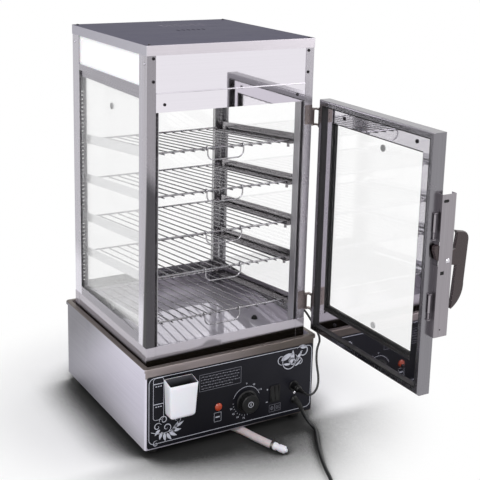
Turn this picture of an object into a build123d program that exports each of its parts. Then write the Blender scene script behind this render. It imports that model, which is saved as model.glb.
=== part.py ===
from build123d import *

import os
from math import atan, cos, degrees, pi, radians, sin, sqrt, tan

# Countertop dumpling steamer: a glazed cabinet with five sloping wire racks on a water-bath base.
# Millimetres. X to the right seen from the front, +Y towards the back, +Z up.
# The origin is on the table, in the middle of the four feet. The door stands open.

# Base box
BASE_WIDTH = 420.0
BASE_DEPTH = 446.0
BASE_HEIGHT = 185.0
SHEET = 1.2
BASE_CORNER = 5.0
RIM_REACH = 3.5
RIM_HEIGHT = 8.0
RIM_WIDTH = 12.0
GUTTER_DEPTH = 13.0
FOOT_HEIGHT = 20.0
FOOT_RADIUS = 14.0
FOOT_SPACING_X = 360.0
FOOT_SPACING_Y = 380.0
FOOT_BOLT_RADIUS = 3.2
FOOT_NECK_RADIUS = 8.0

# Control panel and its fittings, places measured from the middle of the panel's front
PANEL_WIDTH = 412.0
PANEL_HEIGHT = 162.0
PANEL_RAISE = 3.0
PANEL_THICK = 1.5
CUP_CENTRE_X = -132.0
CUP_WIDTH = 67.5
CUP_HEIGHT = 78.0
CUP_DEPTH = 26.0
CUP_WALL = 2.5
CUP_BOTTOM = 97.0
SPOUT_RADIUS = 7.0
SPOUT_BORE = 5.0
SPOUT_RAISE = 15.0
PILOT_X = -36.0
PILOT_Z = 83.0
PILOT_RADIUS = 8.7
PILOT_BODY_RADIUS = 5.5
KNOB_X = 34.0
KNOB_Z = 81.0
KNOB_SKIRT_RADIUS = 26.0
KNOB_GRIP_RADIUS = 22.5
KNOB_REACH = 20.5
KNOB_FLUTES = 12
SHAFT_RADIUS = 3.0
SWITCH_X = 107.5
SWITCH_Z = 83.5
SWITCH_WIDTH = 26.0
SWITCH_HEIGHT = 40.0
ROCKER_WIDTH = 9.0
ROCKER_GAP = 0.3
ROCKER_HEIGHT = 32.0
ROCKER_TILT = 8.0
OUTLET_X = 157.0
OUTLET_Z = 91.4
OUTLET_RADIUS = 12.0
OUTLET_BORE = 5.2
PLUG_RADIUS = 8.0
GLAND_X = 160.0
GLAND_Z = 57.0

# Water bath
TANK_WIDTH = 320.0
TANK_FRONT_Y = -150.0
TANK_BACK_Y = 165.0
TANK_DEPTH = 92.0
TANK_WALL = 1.0
TANK_CORNER = 15.0
TANK_FLANGE = 12.0
HEATER_RADIUS = 4.0
HEATER_RAISE = 18.0
HEATER_X = 90.0
HEATER_SPREAD = 60.0
HEATER_REACH = 230.0
DRAIN_RADIUS = 7.0
DRAIN_BORE = 4.5

# Drain hose, a list chosen by hand along the table
HOSE_RADIUS = 8.5
HOSE_BORE = 6.0
HOSE_BARB = 16.0
HOSE_POINTS = [
    (9.0, -163.0, 8.7),
    (14.0, -182.0, 8.7),
    (21.4, -201.6, 8.7),
    (29.4, -220.9, 8.7),
    (35.7, -249.2, 8.7),
    (43.9, -277.9, 8.7),
    (50.8, -299.8, 8.7),
    (56.0, -312.0, 8.7),
]

# Lamp cord, from the grommet in the glazing bar to the plug in the panel
LAMP_CORD_RADIUS = 2.5
LAMP_CORD_POINTS = [
    (199.5, -150.0, 246.0),
    (206.5, -150.0, 246.0),
    (213.5, -152.0, 244.3),
    (219.8, -156.5, 240.7),
    (224.3, -163.5, 234.5),
    (226.6, -173.5, 226.0),
    (228.0, -185.0, 216.5),
    (229.0, -196.5, 207.5),
    (228.9, -207.5, 199.5),
    (226.8, -218.0, 193.0),
    (221.5, -227.5, 187.5),
    (212.5, -235.5, 183.0),
    (204.5, -242.5, 176.5),
    (199.0, -249.5, 166.0),
    (195.2, -256.0, 153.5),
    (193.0, -263.5, 140.5),
    (191.0, -271.0, 129.0),
    (187.0, -278.5, 118.0),
    (181.0, -283.8, 107.5),
    (174.0, -286.0, 99.5),
    (166.5, -285.3, 93.8),
    (160.2, -280.5, 91.4),
    (157.0, -273.5, 91.4),
    (157.0, -266.0, 91.4),
]

# Mains cord, from the gland down to the table and away to the front
MAINS_CORD_RADIUS = 4.0
MAINS_CORD_POINTS = [
    (160.0, -230.0, 57.0),
    (160.0, -237.5, 57.0),
    (161.5, -245.0, 52.0),
    (164.8, -249.0, 42.0),
    (169.5, -251.5, 31.0),
    (175.0, -256.0, 20.0),
    (179.8, -265.0, 10.8),
    (181.8, -278.0, 5.4),
    (176.5, -292.0, 4.2),
    (163.0, -317.0, 4.2),
    (143.5, -350.0, 4.2),
    (121.0, -396.0, 4.2),
    (104.0, -436.0, 4.2),
    (93.0, -468.0, 4.2),
    (82.0, -494.0, 4.2),
    (74.0, -514.0, 4.2),
    (68.0, -530.0, 4.2),
    (68.0, -546.0, 4.2),
]

# Coil of the mains cord: turns in, a climb, turns out
COIL_OUTER_RADIUS = 52.0
COIL_PITCH = 8.7
COIL_TURNS_IN = 2.0
COIL_TURNS_OUT = 2.25
COIL_CENTRE = (120.0, -554.0)
COIL_LEAD = 8.0
COIL_TAIL = 30.0
CORD_SIDES = 8

# Cabinet
CABINET_WIDTH = 392.0
CABINET_FRONT_Y = -197.0
CABINET_BACK_Y = 199.5
TRAY_HEIGHT = 46.0
TRAY_SHEET = 1.5
TRAY_FLOOR_RAISE = 8.0
POST_TOP_Z = 870.2
POST_FRONT_WIDTH = 19.5
POST_SIDE_WIDTH = 37.0
LID_SKIRT = 20.5
LID_GAP = 0.1
HEADER_BOTTOM_Z = 736.5
HEADER_SPLIT_Z = 775.0
BAR_BOTTOM_Z = 760.0
BAR_STEP_Z = 773.5
BAR_TOP_Z = 787.0
BAR_STEP = 4.0
LOWER_BAR_HEIGHT = 20.0
PANE_THICK = 2.0
PANE_GAP = 2.5
PANE_INSET = 7.7
SPACER_RADIUS = 7.0
CEILING_Z = 770.0
CEILING_THICK = 3.0
OPAL_THICK = 3.0

# Slotted corner strips
STRIP_FRONT_Y = -172.0
STRIP_BACK_Y = 181.0
STRIP_INNER_X = 168.5
STRIP_OUTER_X = 190.5
SLOT_PITCH = 9.27
SLOT_FIRST_Z = 238.73
SLOT_COUNT = 53
SLOT_WIDTH = 6.0
SLOT_HEIGHT = 3.0

# Rack rails: the slot that each front hook sits in, counted from the lowest slot, from the top rack down
RAIL_SLOTS = [45, 35, 25, 16, 5]
RAIL_DROP_SLOTS = 4
RAIL_WEB_X = 179.25
RAIL_SHEET = 1.5
RAIL_WEB = 21.0
RAIL_LEDGE = 21.0
RAIL_HOOK_DEPTH = 4.8
RUNNER_GAP = 0.2

# Wire racks
WIRE_PITCH = 23.3
WIRES_EACH_SIDE = 7
WIRE_RADIUS = 1.4
CROSS_RADIUS = 2.0
CROSS_REACH = 166.3
RACK_FRONT_S = 19.0
RACK_BACK_S = 348.0
WIRE_STUB = 7.0

# Bail handles under the front of each rack
BAIL_LEFT_X = -37.0
BAIL_RIGHT_X = 50.0
BAIL_DROP = 25.0
BAIL_RADIUS = 1.5
BAIL_CORNER = 15.0
BAIL_CLEARANCE = 0.25

# Door, standing open square to the front
DOOR_WIDTH = 382.0
DOOR_HEIGHT = 527.5
DOOR_THICK = 28.0
DOOR_BOTTOM_Z = 212.5
DOOR_INNER_X = 206.0
DOOR_HINGE_Y = -208.0
DOOR_LIP = 12.0
DOOR_RECESS = 8.0
DOOR_BAND_SIDE = 40.0
DOOR_BAND_TOP = 44.0
DOOR_BAND_BOTTOM = 58.0
DOOR_PANE = 3.0
PANE_BITE = 5.0
CHANNEL_BITE = 6.0
GASKET_WIDTH = 2.5

# Hinges
PIVOT_X = 200.3
PIVOT_Y = -194.2
HINGE_PIN_RADIUS = 2.0
HINGE_PLAY = 0.05
KNUCKLE_RADIUS = 4.0
KNUCKLE_HEIGHT = 30.0
KNUCKLE_BOTTOMS = [685.0, 261.0]
LEAF_THICK = 1.5
LEAF_HEADROOM = 12.0
EAR_THICK = 3.5
EAR_GAP = 0.3

# Latch on the free edge of the door
CHANNEL_LEFT_X = 224.0
CHANNEL_WIDTH = 33.5
CHANNEL_DEPTH = 13.3
CHANNEL_BOTTOM_Z = 336.0
CHANNEL_HEIGHT = 287.0
CHANNEL_SHEET = 1.2
LATCH_X = 247.0
LATCH_Z = 490.0
LATCH_PIN_RADIUS = 2.5
LEVER_THICK = 8.0
LEVER_HUB_RADIUS = 7.0
LEVER_SWING = 6.0

# Screws
SCREW_SHANK = 1.5

# Light box
LAMP_RADIUS = 8.0
LAMP_LENGTH = 280.0
LAMP_Z = 822.0

BASE_UNDER_Z = FOOT_HEIGHT
RIM_TOP_Z = FOOT_HEIGHT + BASE_HEIGHT
DECK_Z = RIM_TOP_Z - GUTTER_DEPTH
PANEL_BACK_Y = -BASE_DEPTH / 2
PANEL_FRONT_Y = PANEL_BACK_Y - PANEL_THICK
TRAY_TOP_Z = DECK_Z + TRAY_HEIGHT
TRAY_FLOOR_Z = DECK_Z + TRAY_FLOOR_RAISE
HALF_CABINET = CABINET_WIDTH / 2
POST_WALL_X = HALF_CABINET - SHEET
FRONT_WALL_Y = CABINET_FRONT_Y + SHEET
BACK_WALL_Y = CABINET_BACK_Y - SHEET
SKIRT_BOTTOM_Z = POST_TOP_Z + SHEET - LID_SKIRT
LID_TOP_Z = POST_TOP_Z + SHEET
SLOPE = atan(RAIL_DROP_SLOTS * SLOT_PITCH / (STRIP_BACK_Y - STRIP_FRONT_Y))
RAIL_OUTER_X = RAIL_WEB_X + RAIL_SHEET / 2
LEDGE_TOP_W = RAIL_SHEET - RAIL_WEB
WIRE_W = LEDGE_TOP_W + RUNNER_GAP + WIRE_RADIUS
CROSS_W = WIRE_W + WIRE_RADIUS + CROSS_RADIUS - 0.4
DOOR_FREE_Y = DOOR_HINGE_Y - DOOR_WIDTH
DOOR_TOP_Z = DOOR_BOTTOM_Z + DOOR_HEIGHT
DOOR_OUTER_X = DOOR_INNER_X + DOOR_THICK
BAND_X = DOOR_INNER_X + DOOR_RECESS
TANK_BOTTOM_Z = DECK_Z - TANK_DEPTH


def slab(x, y, z):
    """Box between three (low, high) pairs."""
    size = [pair[1] - pair[0] for pair in (x, y, z)]
    middle = [(pair[0] + pair[1]) / 2 for pair in (x, y, z)]
    return Pos(*middle) * Box(*size)


def rod(start, end, radius):
    """Round bar between two points."""
    run = Vector(*end) - Vector(*start)
    seat = Plane(origin=start, z_dir=run)
    return seat * Cylinder(radius, run.length, align=(Align.CENTER, Align.CENTER, Align.MIN))


def turned(start, end, profile):
    """Solid of revolution about the line from start to end; profile is (distance along, radius)."""
    run = Vector(*end) - Vector(*start)
    outline = Polyline(*[(radius, along) for along, radius in profile], close=True)
    body = revolve(Plane.XZ * make_face(outline), axis=Axis.Z)
    return Plane(origin=start, z_dir=run) * body


def mirrored(part):
    """The same piece on the other side of the middle plane."""
    return mirror(part, about=Plane.YZ)


def group(parts):
    """Separate solids kept apart in one node."""
    solids = []
    for part in parts:
        solids.extend(part.solids())
    return Compound(solids)


def corner_radii(points):
    """Arc at each corner: 0.45 of the shorter run over the tangent of half the turn."""
    radii = []
    for before, corner, after in zip(points, points[1:], points[2:]):
        run_in = Vector(*corner) - Vector(*before)
        run_out = Vector(*after) - Vector(*corner)
        half_turn = radians(run_in.get_angle(run_out)) / 2
        radii.append(0.45 * min(run_in.length, run_out.length) / tan(half_turn))
    return radii


def cord_path(name, points, diameter):
    """Straight runs joined by tangent arcs, with the tightest arc printed."""
    radii = corner_radii(points)
    print(name, "radii", [round(radius, 1) for radius in radii], "tightest in diameters", min(radii) / diameter)
    return FilletPolyline(*points, radius=radii)


def faceted_tube(path, radius):
    """Cord of CORD_SIDES flat sides swept along a path."""
    section = Plane(origin=path @ 0, z_dir=path % 0) * RegularPolygon(radius, CORD_SIDES)
    tube = sweep(section, path=path)
    expected = section.area * path.length
    print("tube volume over section times length", round(tube.volume / expected, 4))
    return tube


def biarc(start, start_way, end, end_way):
    """Two arcs, tangent to each other and to both end directions."""
    gap = start - end
    ways = start_way + end_way
    spare = 2 * (1 - start_way.dot(end_way))
    along = gap.dot(ways)
    if spare < 1e-9:
        reach = gap.length**2 / (4 * (end - start).dot(end_way))
    else:
        reach = (along + sqrt(along**2 + spare * gap.length**2)) / spare
    first = start + start_way * reach
    last = end - end_way * reach
    middle = (first + last) * 0.5
    way = (last - first).normalized()
    return [TangentArc(start, middle, tangent=start_way), TangentArc(middle, end, tangent=way)]


# Base


def base_feet():
    """Four rubber feet whose necks snap into the bottom plate, open for a bolt from below."""
    neck_top = BASE_UNDER_Z + SHEET
    profile = [
        (0, 0),
        (0, FOOT_RADIUS - 1),
        (2, FOOT_RADIUS),
        (FOOT_HEIGHT, FOOT_RADIUS - 2),
        (FOOT_HEIGHT, FOOT_NECK_RADIUS),
        (neck_top + 0.2, FOOT_NECK_RADIUS),
        (neck_top + 0.2, FOOT_NECK_RADIUS + 2.5),
        (neck_top + 3, FOOT_NECK_RADIUS + 0.5),
        (neck_top + 3, 0),
    ]
    foot = turned((0, 0, 0), (0, 0, 1), profile)
    foot -= Cylinder(FOOT_BOLT_RADIUS, 4 * FOOT_HEIGHT)
    return group([place * foot for place in foot_places()])


def foot_places():
    """Middle of each foot on the table."""
    half_x, half_y = FOOT_SPACING_X / 2, FOOT_SPACING_Y / 2
    return [Pos(x, y, 0) for x in (-half_x, half_x) for y in (-half_y, half_y)]


def rounded_block(width, depth, low, high, radius):
    """Block on the base's middle line with rounded upright edges."""
    outline = RectangleRounded(width, depth, radius)
    return Pos(0, 0, low) * extrude(outline, high - low)


def tank_opening(grow):
    """Outline of the water bath, grown by a clearance, as a tall block."""
    outline = RectangleRounded(TANK_WIDTH + 2 * grow, TANK_BACK_Y - TANK_FRONT_Y + 2 * grow, TANK_CORNER + grow)
    return Pos(0, (TANK_FRONT_Y + TANK_BACK_Y) / 2, DECK_Z - TANK_DEPTH) * extrude(outline, 2 * TANK_DEPTH)


def panel_openings():
    """Everything that passes through the panel and the wall behind it."""
    low, high = PANEL_FRONT_Y - 5, PANEL_BACK_Y + 5
    holes = [
        rod((PILOT_X, low, PILOT_Z), (PILOT_X, high, PILOT_Z), PILOT_BODY_RADIUS + 0.1),
        rod((KNOB_X, low, KNOB_Z), (KNOB_X, high, KNOB_Z), SHAFT_RADIUS + 2.1),
        rod((OUTLET_X, low, OUTLET_Z), (OUTLET_X, high, OUTLET_Z), OUTLET_RADIUS - 2.9),
        rod((GLAND_X, low, GLAND_Z), (GLAND_X, high, GLAND_Z), MAINS_CORD_RADIUS + 2.1),
        rod((CUP_CENTRE_X, low, spout_z()), (CUP_CENTRE_X, high, spout_z()), SPOUT_RADIUS + 0.1),
    ]
    earth_x, earth_z = earth_screw_place()
    holes.append(rod((earth_x, low, earth_z), (earth_x, high, earth_z), SCREW_SHANK + 0.3))
    half_width, half_height = SWITCH_WIDTH / 2 - 1.7, SWITCH_HEIGHT / 2 - 1.7
    window = slab(
        (SWITCH_X - half_width, SWITCH_X + half_width),
        (low, high),
        (SWITCH_Z - half_height, SWITCH_Z + half_height),
    )
    return holes + [window]


def earth_screw_place():
    """Bright screw below the lamp outlet."""
    return OUTLET_X + 2, OUTLET_Z - 17.4


def spout_z():
    """Height of the cup's outlet, just above its floor."""
    return CUP_BOTTOM + SPOUT_RAISE


def base_shell():
    """Folded sheet box: walls, rolled rim, gutter and the deck round the water bath."""
    walls = rounded_block(BASE_WIDTH, BASE_DEPTH, BASE_UNDER_Z, RIM_TOP_Z - SHEET / 2, BASE_CORNER)
    inner_width, inner_depth = BASE_WIDTH - 2 * SHEET, BASE_DEPTH - 2 * SHEET
    walls -= rounded_block(inner_width, inner_depth, 0, RIM_TOP_Z + 1, BASE_CORNER - SHEET)
    rim_width, rim_depth = BASE_WIDTH + 2 * RIM_REACH, BASE_DEPTH + 2 * RIM_REACH
    rim = rounded_block(rim_width, rim_depth, RIM_TOP_Z - RIM_HEIGHT, RIM_TOP_Z, BASE_CORNER + RIM_REACH)
    rim = fillet(rim.faces().sort_by(Axis.Z)[-1].edges(), 3.0)
    well_width, well_depth = rim_width - 2 * RIM_WIDTH, rim_depth - 2 * RIM_WIDTH
    curl = rounded_block(rim_width - 2 * SHEET, rim_depth - 2 * SHEET, 0, RIM_TOP_Z - 2.2, BASE_CORNER)
    curl -= rounded_block(well_width + 2 * SHEET, well_depth + 2 * SHEET, 0, RIM_TOP_Z, BASE_CORNER)
    rim -= curl
    rim -= rounded_block(well_width, well_depth, 0, RIM_TOP_Z + 1, BASE_CORNER - SHEET)
    lip = rounded_block(well_width + 2 * SHEET, well_depth + 2 * SHEET, DECK_Z - SHEET, RIM_TOP_Z - 1, BASE_CORNER)
    lip -= rounded_block(well_width, well_depth, DECK_Z, RIM_TOP_Z + 1, BASE_CORNER - SHEET)
    shell = walls + rim + lip - tank_opening(TANK_WALL)
    for hole in panel_openings():
        shell -= hole
    return shell


def base_bottom():
    """Bottom plate with foot holes, the drain hole and two rows of vent slots."""
    plate = rounded_block(
        BASE_WIDTH - 2 * SHEET, BASE_DEPTH - 2 * SHEET, BASE_UNDER_Z, BASE_UNDER_Z + SHEET, BASE_CORNER - SHEET
    )
    for place in foot_places():
        plate -= place * Cylinder(FOOT_NECK_RADIUS + 0.2, 3 * FOOT_HEIGHT)
    drain_x, drain_y, _ = drain_corner()
    plate -= Pos(drain_x, drain_y, BASE_UNDER_Z) * Cylinder(DRAIN_RADIUS + 1, 3 * FOOT_HEIGHT)
    for x in (-120, 120):
        for row in range(5):
            plate -= Pos(x, -40 + 20 * row, BASE_UNDER_Z) * Box(60, 5, 3 * SHEET)
    return plate


def control_panel():
    """Black panel on the front of the base."""
    middle = BASE_UNDER_Z + PANEL_RAISE + PANEL_HEIGHT / 2
    outline = RectangleRounded(PANEL_WIDTH, PANEL_HEIGHT, BASE_CORNER)
    front = Plane(origin=(0, PANEL_BACK_Y, middle), x_dir=(1, 0, 0), z_dir=(0, -1, 0))
    panel = front * extrude(outline, PANEL_THICK)
    for hole in panel_openings():
        panel -= hole
    return panel


def fill_cup():
    """White cup with clipped lower corners, open at the top, and the spout at its back."""
    half = CUP_WIDTH / 2
    top = CUP_BOTTOM + CUP_HEIGHT

    def outline(wall):
        """Front outline, drawn in by a wall at the sides and the bottom."""
        corners = [
            (CUP_CENTRE_X - half + wall, top),
            (CUP_CENTRE_X - half + wall, CUP_BOTTOM + 10 + wall / 2),
            (CUP_CENTRE_X - half + 9 + wall / 2, CUP_BOTTOM + wall),
            (CUP_CENTRE_X + half - 9 - wall / 2, CUP_BOTTOM + wall),
            (CUP_CENTRE_X + half - wall, CUP_BOTTOM + 9 + wall / 2),
            (CUP_CENTRE_X + half - wall, top),
        ]
        return make_face(Polyline(*corners, close=True))

    back = Plane(origin=(0, PANEL_FRONT_Y, 0), x_dir=(1, 0, 0), z_dir=(0, -1, 0))
    body = back * extrude(outline(0), CUP_DEPTH)
    front_edges = body.faces().sort_by(Axis.Y)[0].edges().filter_by(lambda edge: edge.center().Z < top - 1)
    body = fillet(front_edges, 3.0)
    inner_back = Plane(origin=(0, PANEL_FRONT_Y - CUP_WALL, 0), x_dir=(1, 0, 0), z_dir=(0, -1, 0))
    hollow = inner_back * extrude(outline(CUP_WALL), CUP_DEPTH - 2 * CUP_WALL)
    cup = body - hollow
    spout_start = (CUP_CENTRE_X, PANEL_FRONT_Y - CUP_WALL / 2, spout_z())
    spout_end = (CUP_CENTRE_X, TANK_FRONT_Y - TANK_WALL, spout_z())
    cup += rod(spout_start, spout_end, SPOUT_RADIUS)
    bore_start = (CUP_CENTRE_X, PANEL_FRONT_Y - CUP_WALL - 1, spout_z())
    bore_end = (CUP_CENTRE_X, TANK_FRONT_Y + 1, spout_z())
    return cup - rod(bore_start, bore_end, SPOUT_BORE)


def pilot_lamp():
    """Domed lens on a collar, with its body behind the panel."""
    profile = [
        (-24, 0),
        (-24, PILOT_BODY_RADIUS - 1),
        (-2, PILOT_BODY_RADIUS - 1),
        (-2, PILOT_BODY_RADIUS),
        (0, PILOT_BODY_RADIUS),
        (0, PILOT_RADIUS),
        (1.5, PILOT_RADIUS),
        (3.2, PILOT_RADIUS * 0.8),
        (4.2, PILOT_RADIUS * 0.45),
        (4.5, 0),
    ]
    return turned((PILOT_X, PANEL_FRONT_Y, PILOT_Z), (PILOT_X, PANEL_FRONT_Y - 1, PILOT_Z), profile)


def thermostat_body():
    """Thermostat behind the wall, with the bushing that carries the knob's shaft."""
    body = Pos(KNOB_X, PANEL_BACK_Y + SHEET + 16, KNOB_Z) * Box(44, 32, 36)
    body = fillet(body.edges().filter_by(Axis.Y), 4)
    bushing_end = (KNOB_X, PANEL_FRONT_Y - 1.5, KNOB_Z)
    body += rod((KNOB_X, PANEL_BACK_Y + SHEET + 1, KNOB_Z), bushing_end, SHAFT_RADIUS + 2)
    bore_end = (KNOB_X, PANEL_BACK_Y + SHEET + 12, KNOB_Z)
    return body - rod(bore_end, (KNOB_X, PANEL_FRONT_Y - 3, KNOB_Z), SHAFT_RADIUS + HINGE_PLAY)


def thermostat_knob():
    """Fluted knob with a skirt, pressed on the shaft that turns in the bushing."""
    profile = [
        (2.0, 0),
        (2.0, KNOB_SKIRT_RADIUS - 1),
        (3.0, KNOB_SKIRT_RADIUS),
        (5.0, KNOB_GRIP_RADIUS + 0.6),
        (KNOB_REACH - 1.5, KNOB_GRIP_RADIUS - 1.0),
        (KNOB_REACH, KNOB_GRIP_RADIUS - 2.5),
        (KNOB_REACH, 0),
    ]
    start, way = (KNOB_X, PANEL_FRONT_Y, KNOB_Z), (KNOB_X, PANEL_FRONT_Y - 1, KNOB_Z)
    knob = turned(start, way, profile)
    for flute in range(KNOB_FLUTES):
        angle = 2 * pi * (flute + 0.5) / KNOB_FLUTES
        x = KNOB_X + (KNOB_GRIP_RADIUS + 3.2) * cos(angle)
        z = KNOB_Z + (KNOB_GRIP_RADIUS + 3.2) * sin(angle)
        knob -= rod((x, PANEL_FRONT_Y - 5.5, z), (x, PANEL_FRONT_Y - KNOB_REACH - 1, z), 4.6)
    shaft_start = (KNOB_X, PANEL_BACK_Y + SHEET + 10, KNOB_Z)
    return knob + rod(shaft_start, (KNOB_X, PANEL_FRONT_Y - 12, KNOB_Z), SHAFT_RADIUS)


def rocker_pocket(middle_x):
    """Space of one rocker in the switch housing."""
    half = ROCKER_WIDTH / 2 + ROCKER_GAP
    high = ROCKER_HEIGHT / 2 + 3 * ROCKER_GAP
    return slab(
        (middle_x - half, middle_x + half),
        (PANEL_FRONT_Y - 10, PANEL_FRONT_Y + 12),
        (SWITCH_Z - high, SWITCH_Z + high),
    )


def rocker_places():
    """Middle of each rocker across the switch."""
    step = ROCKER_WIDTH / 2 + ROCKER_GAP + 0.5
    return [SWITCH_X - step, SWITCH_X + step]


def switch_housing():
    """Bezel and body of the double switch, with a pocket and pivot holes for each rocker."""
    half_width, half_height = SWITCH_WIDTH / 2, SWITCH_HEIGHT / 2
    bezel = slab(
        (SWITCH_X - half_width, SWITCH_X + half_width),
        (PANEL_FRONT_Y - 2.2, PANEL_FRONT_Y),
        (SWITCH_Z - half_height, SWITCH_Z + half_height),
    )
    bezel = fillet(bezel.edges().filter_by(Axis.Y), 2)
    body = slab(
        (SWITCH_X - half_width + 1.8, SWITCH_X + half_width - 1.8),
        (PANEL_FRONT_Y - 1, PANEL_FRONT_Y + 22),
        (SWITCH_Z - half_height + 1.8, SWITCH_Z + half_height - 1.8),
    )
    housing = bezel + body
    for x in rocker_places():
        housing -= rocker_pocket(x)
    reach = rocker_places()[1] - SWITCH_X + ROCKER_WIDTH / 2 + ROCKER_GAP + 0.5
    pivot_y = PANEL_FRONT_Y + 2
    start, end = (SWITCH_X - reach, pivot_y, SWITCH_Z), (SWITCH_X + reach, pivot_y, SWITCH_Z)
    return housing - rod(start, end, 1.5 + HINGE_PLAY)


def rocker(middle_x):
    """One rocker: two faces that meet at the pivot line, and its two pivot stubs."""
    half = ROCKER_HEIGHT / 2
    lift = half * tan(radians(ROCKER_TILT))
    outline = [
        (-half, -2 - lift),
        (0, -3.6),
        (half, -2 - lift),
        (half, 0),
        (0, 5),
        (-half, 0),
    ]
    face = make_face(Polyline(*outline, close=True))
    side = Plane(origin=(middle_x + ROCKER_WIDTH / 2, 0, 0), x_dir=(0, 0, 1), z_dir=(-1, 0, 0))
    blade = side * extrude(face, ROCKER_WIDTH)
    stub = ROCKER_WIDTH / 2 + ROCKER_GAP + 0.4
    blade += rod((middle_x - stub, 0, 0), (middle_x + stub, 0, 0), 1.5)
    return Pos(0, PANEL_FRONT_Y + 2, SWITCH_Z) * Rot(-ROCKER_TILT, 0, 0) * blade


def lamp_outlet():
    """Round outlet on the panel that the lamp plug goes into."""
    profile = [
        (-14, OUTLET_BORE),
        (-14, OUTLET_RADIUS - 3),
        (0, OUTLET_RADIUS - 3),
        (0, OUTLET_RADIUS),
        (2, OUTLET_RADIUS),
        (3, OUTLET_RADIUS - 1),
        (3, OUTLET_BORE),
    ]
    return turned((OUTLET_X, PANEL_FRONT_Y, OUTLET_Z), (OUTLET_X, PANEL_FRONT_Y - 1, OUTLET_Z), profile)


def lamp_plug():
    """Plug in the outlet: pin, ribbed grip and a tapered boot that ends at the cord."""
    start = Vector(OUTLET_X, PANEL_FRONT_Y - 3, OUTLET_Z)
    length = start.Y - LAMP_CORD_POINTS[-1][1]
    profile = [
        (-12, 0),
        (-12, OUTLET_BORE - 0.6),
        (-11, OUTLET_BORE - 0.2),
        (0, OUTLET_BORE - 0.2),
        (0, PLUG_RADIUS),
        (14, PLUG_RADIUS),
        (15, PLUG_RADIUS - 1),
        (17, PLUG_RADIUS - 1),
        (18, PLUG_RADIUS),
        (20, PLUG_RADIUS - 0.5),
        (22, PLUG_RADIUS - 2.5),
        (length, LAMP_CORD_RADIUS + 1.0),
        (length, 0),
    ]
    return turned(tuple(start), (OUTLET_X, start.Y - 1, OUTLET_Z), profile)


def cord_glands():
    """Gland of the mains cord in the panel and grommet of the lamp cord in the glazing bar."""
    length = PANEL_FRONT_Y - MAINS_CORD_POINTS[0][1]
    gland_profile = [
        (-6, MAINS_CORD_RADIUS - 1.5),
        (-6, MAINS_CORD_RADIUS + 4),
        (-3, MAINS_CORD_RADIUS + 4),
        (-3, MAINS_CORD_RADIUS + 2),
        (0, MAINS_CORD_RADIUS + 2),
        (0, MAINS_CORD_RADIUS + 5),
        (2, MAINS_CORD_RADIUS + 5),
        (length, MAINS_CORD_RADIUS + 1.5),
        (length, MAINS_CORD_RADIUS - 1.5),
    ]
    gland = turned((GLAND_X, PANEL_FRONT_Y, GLAND_Z), (GLAND_X, PANEL_FRONT_Y - 1, GLAND_Z), gland_profile)
    start = LAMP_CORD_POINTS[0]
    reach = start[0] - HALF_CABINET
    grommet_profile = [
        (-4, LAMP_CORD_RADIUS - 1),
        (-4, LAMP_CORD_RADIUS + 3),
        (-SHEET, LAMP_CORD_RADIUS + 3),
        (-SHEET, LAMP_CORD_RADIUS + 1.5),
        (0, LAMP_CORD_RADIUS + 1.5),
        (0, LAMP_CORD_RADIUS + 3),
        (reach, LAMP_CORD_RADIUS + 1.5),
        (reach, LAMP_CORD_RADIUS - 1),
    ]
    grommet = turned((HALF_CABINET, start[1], start[2]), (HALF_CABINET + 1, start[1], start[2]), grommet_profile)
    return group([gland, grommet])


def lamp_cord():
    """Cord from the grommet to the lamp plug."""
    path = cord_path("lamp cord", LAMP_CORD_POINTS, 2 * LAMP_CORD_RADIUS)
    return faceted_tube(path, LAMP_CORD_RADIUS)


def mains_cord():
    """Cord from the gland to the coil."""
    path = cord_path("mains cord", MAINS_CORD_POINTS, 2 * MAINS_CORD_RADIUS)
    return faceted_tube(path, MAINS_CORD_RADIUS)


def coil_point(turn):
    """Middle of the coiled cord after so many turns."""
    total = COIL_TURNS_IN + COIL_TURNS_OUT
    inward = min(turn, COIL_TURNS_IN)
    outward = max(turn - COIL_TURNS_IN, 0)
    radius = COIL_OUTER_RADIUS - COIL_PITCH * (inward - outward)
    climb = min(max((turn - COIL_TURNS_IN) / 0.5 + 0.5, 0), 1)
    rise = COIL_PITCH * (3 * climb**2 - 2 * climb**3)
    angle = pi + 2 * pi * turn
    x = COIL_CENTRE[0] + radius * cos(angle)
    y = COIL_CENTRE[1] + radius * sin(angle)
    z = MAINS_CORD_POINTS[-1][2] + (rise if turn < total else COIL_PITCH)
    return Vector(x, y, z)


def coil_path():
    """Unbroken route of the coil: a straight lead, biarcs of a quarter turn, a straight tail."""
    total = COIL_TURNS_IN + COIL_TURNS_OUT
    steps = round(total * 4)
    turns = [total * step / steps for step in range(steps + 1)]
    points = [coil_point(turn) for turn in turns]
    ways = []
    for turn in turns:
        ahead = coil_point(turn + 1e-4) - coil_point(turn - 1e-4)
        ways.append(ahead.normalized())
    ways[0] = Vector(0, -1, 0)
    ways[-1] = Vector(1, 0, 0)
    edges = [Line(points[0] - ways[0] * COIL_LEAD, points[0])]
    for index in range(steps):
        edges += biarc(points[index], ways[index], points[index + 1], ways[index + 1])
    edges.append(Line(points[-1], points[-1] + ways[-1] * COIL_TAIL))
    return Wire([piece.edge() for piece in edges])


def coil_least_gap(path):
    """Least distance between the coil's turns, surface to surface, measured on points."""
    count = 400
    step = path.length / count
    points = [path.position_at(index / count) for index in range(count + 1)]
    apart = int(4 * 2 * MAINS_CORD_RADIUS / step)
    least = min(
        (points[one] - points[other]).length
        for one in range(count + 1)
        for other in range(one + apart, count + 1)
    )
    return least - 2 * MAINS_CORD_RADIUS


def mains_coil():
    """The rest of the mains cord, coiled flat in two layers."""
    path = coil_path()
    print("coil length", round(path.length), "least gap between turns", round(coil_least_gap(path), 2))
    return faceted_tube(path, MAINS_CORD_RADIUS)


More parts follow.
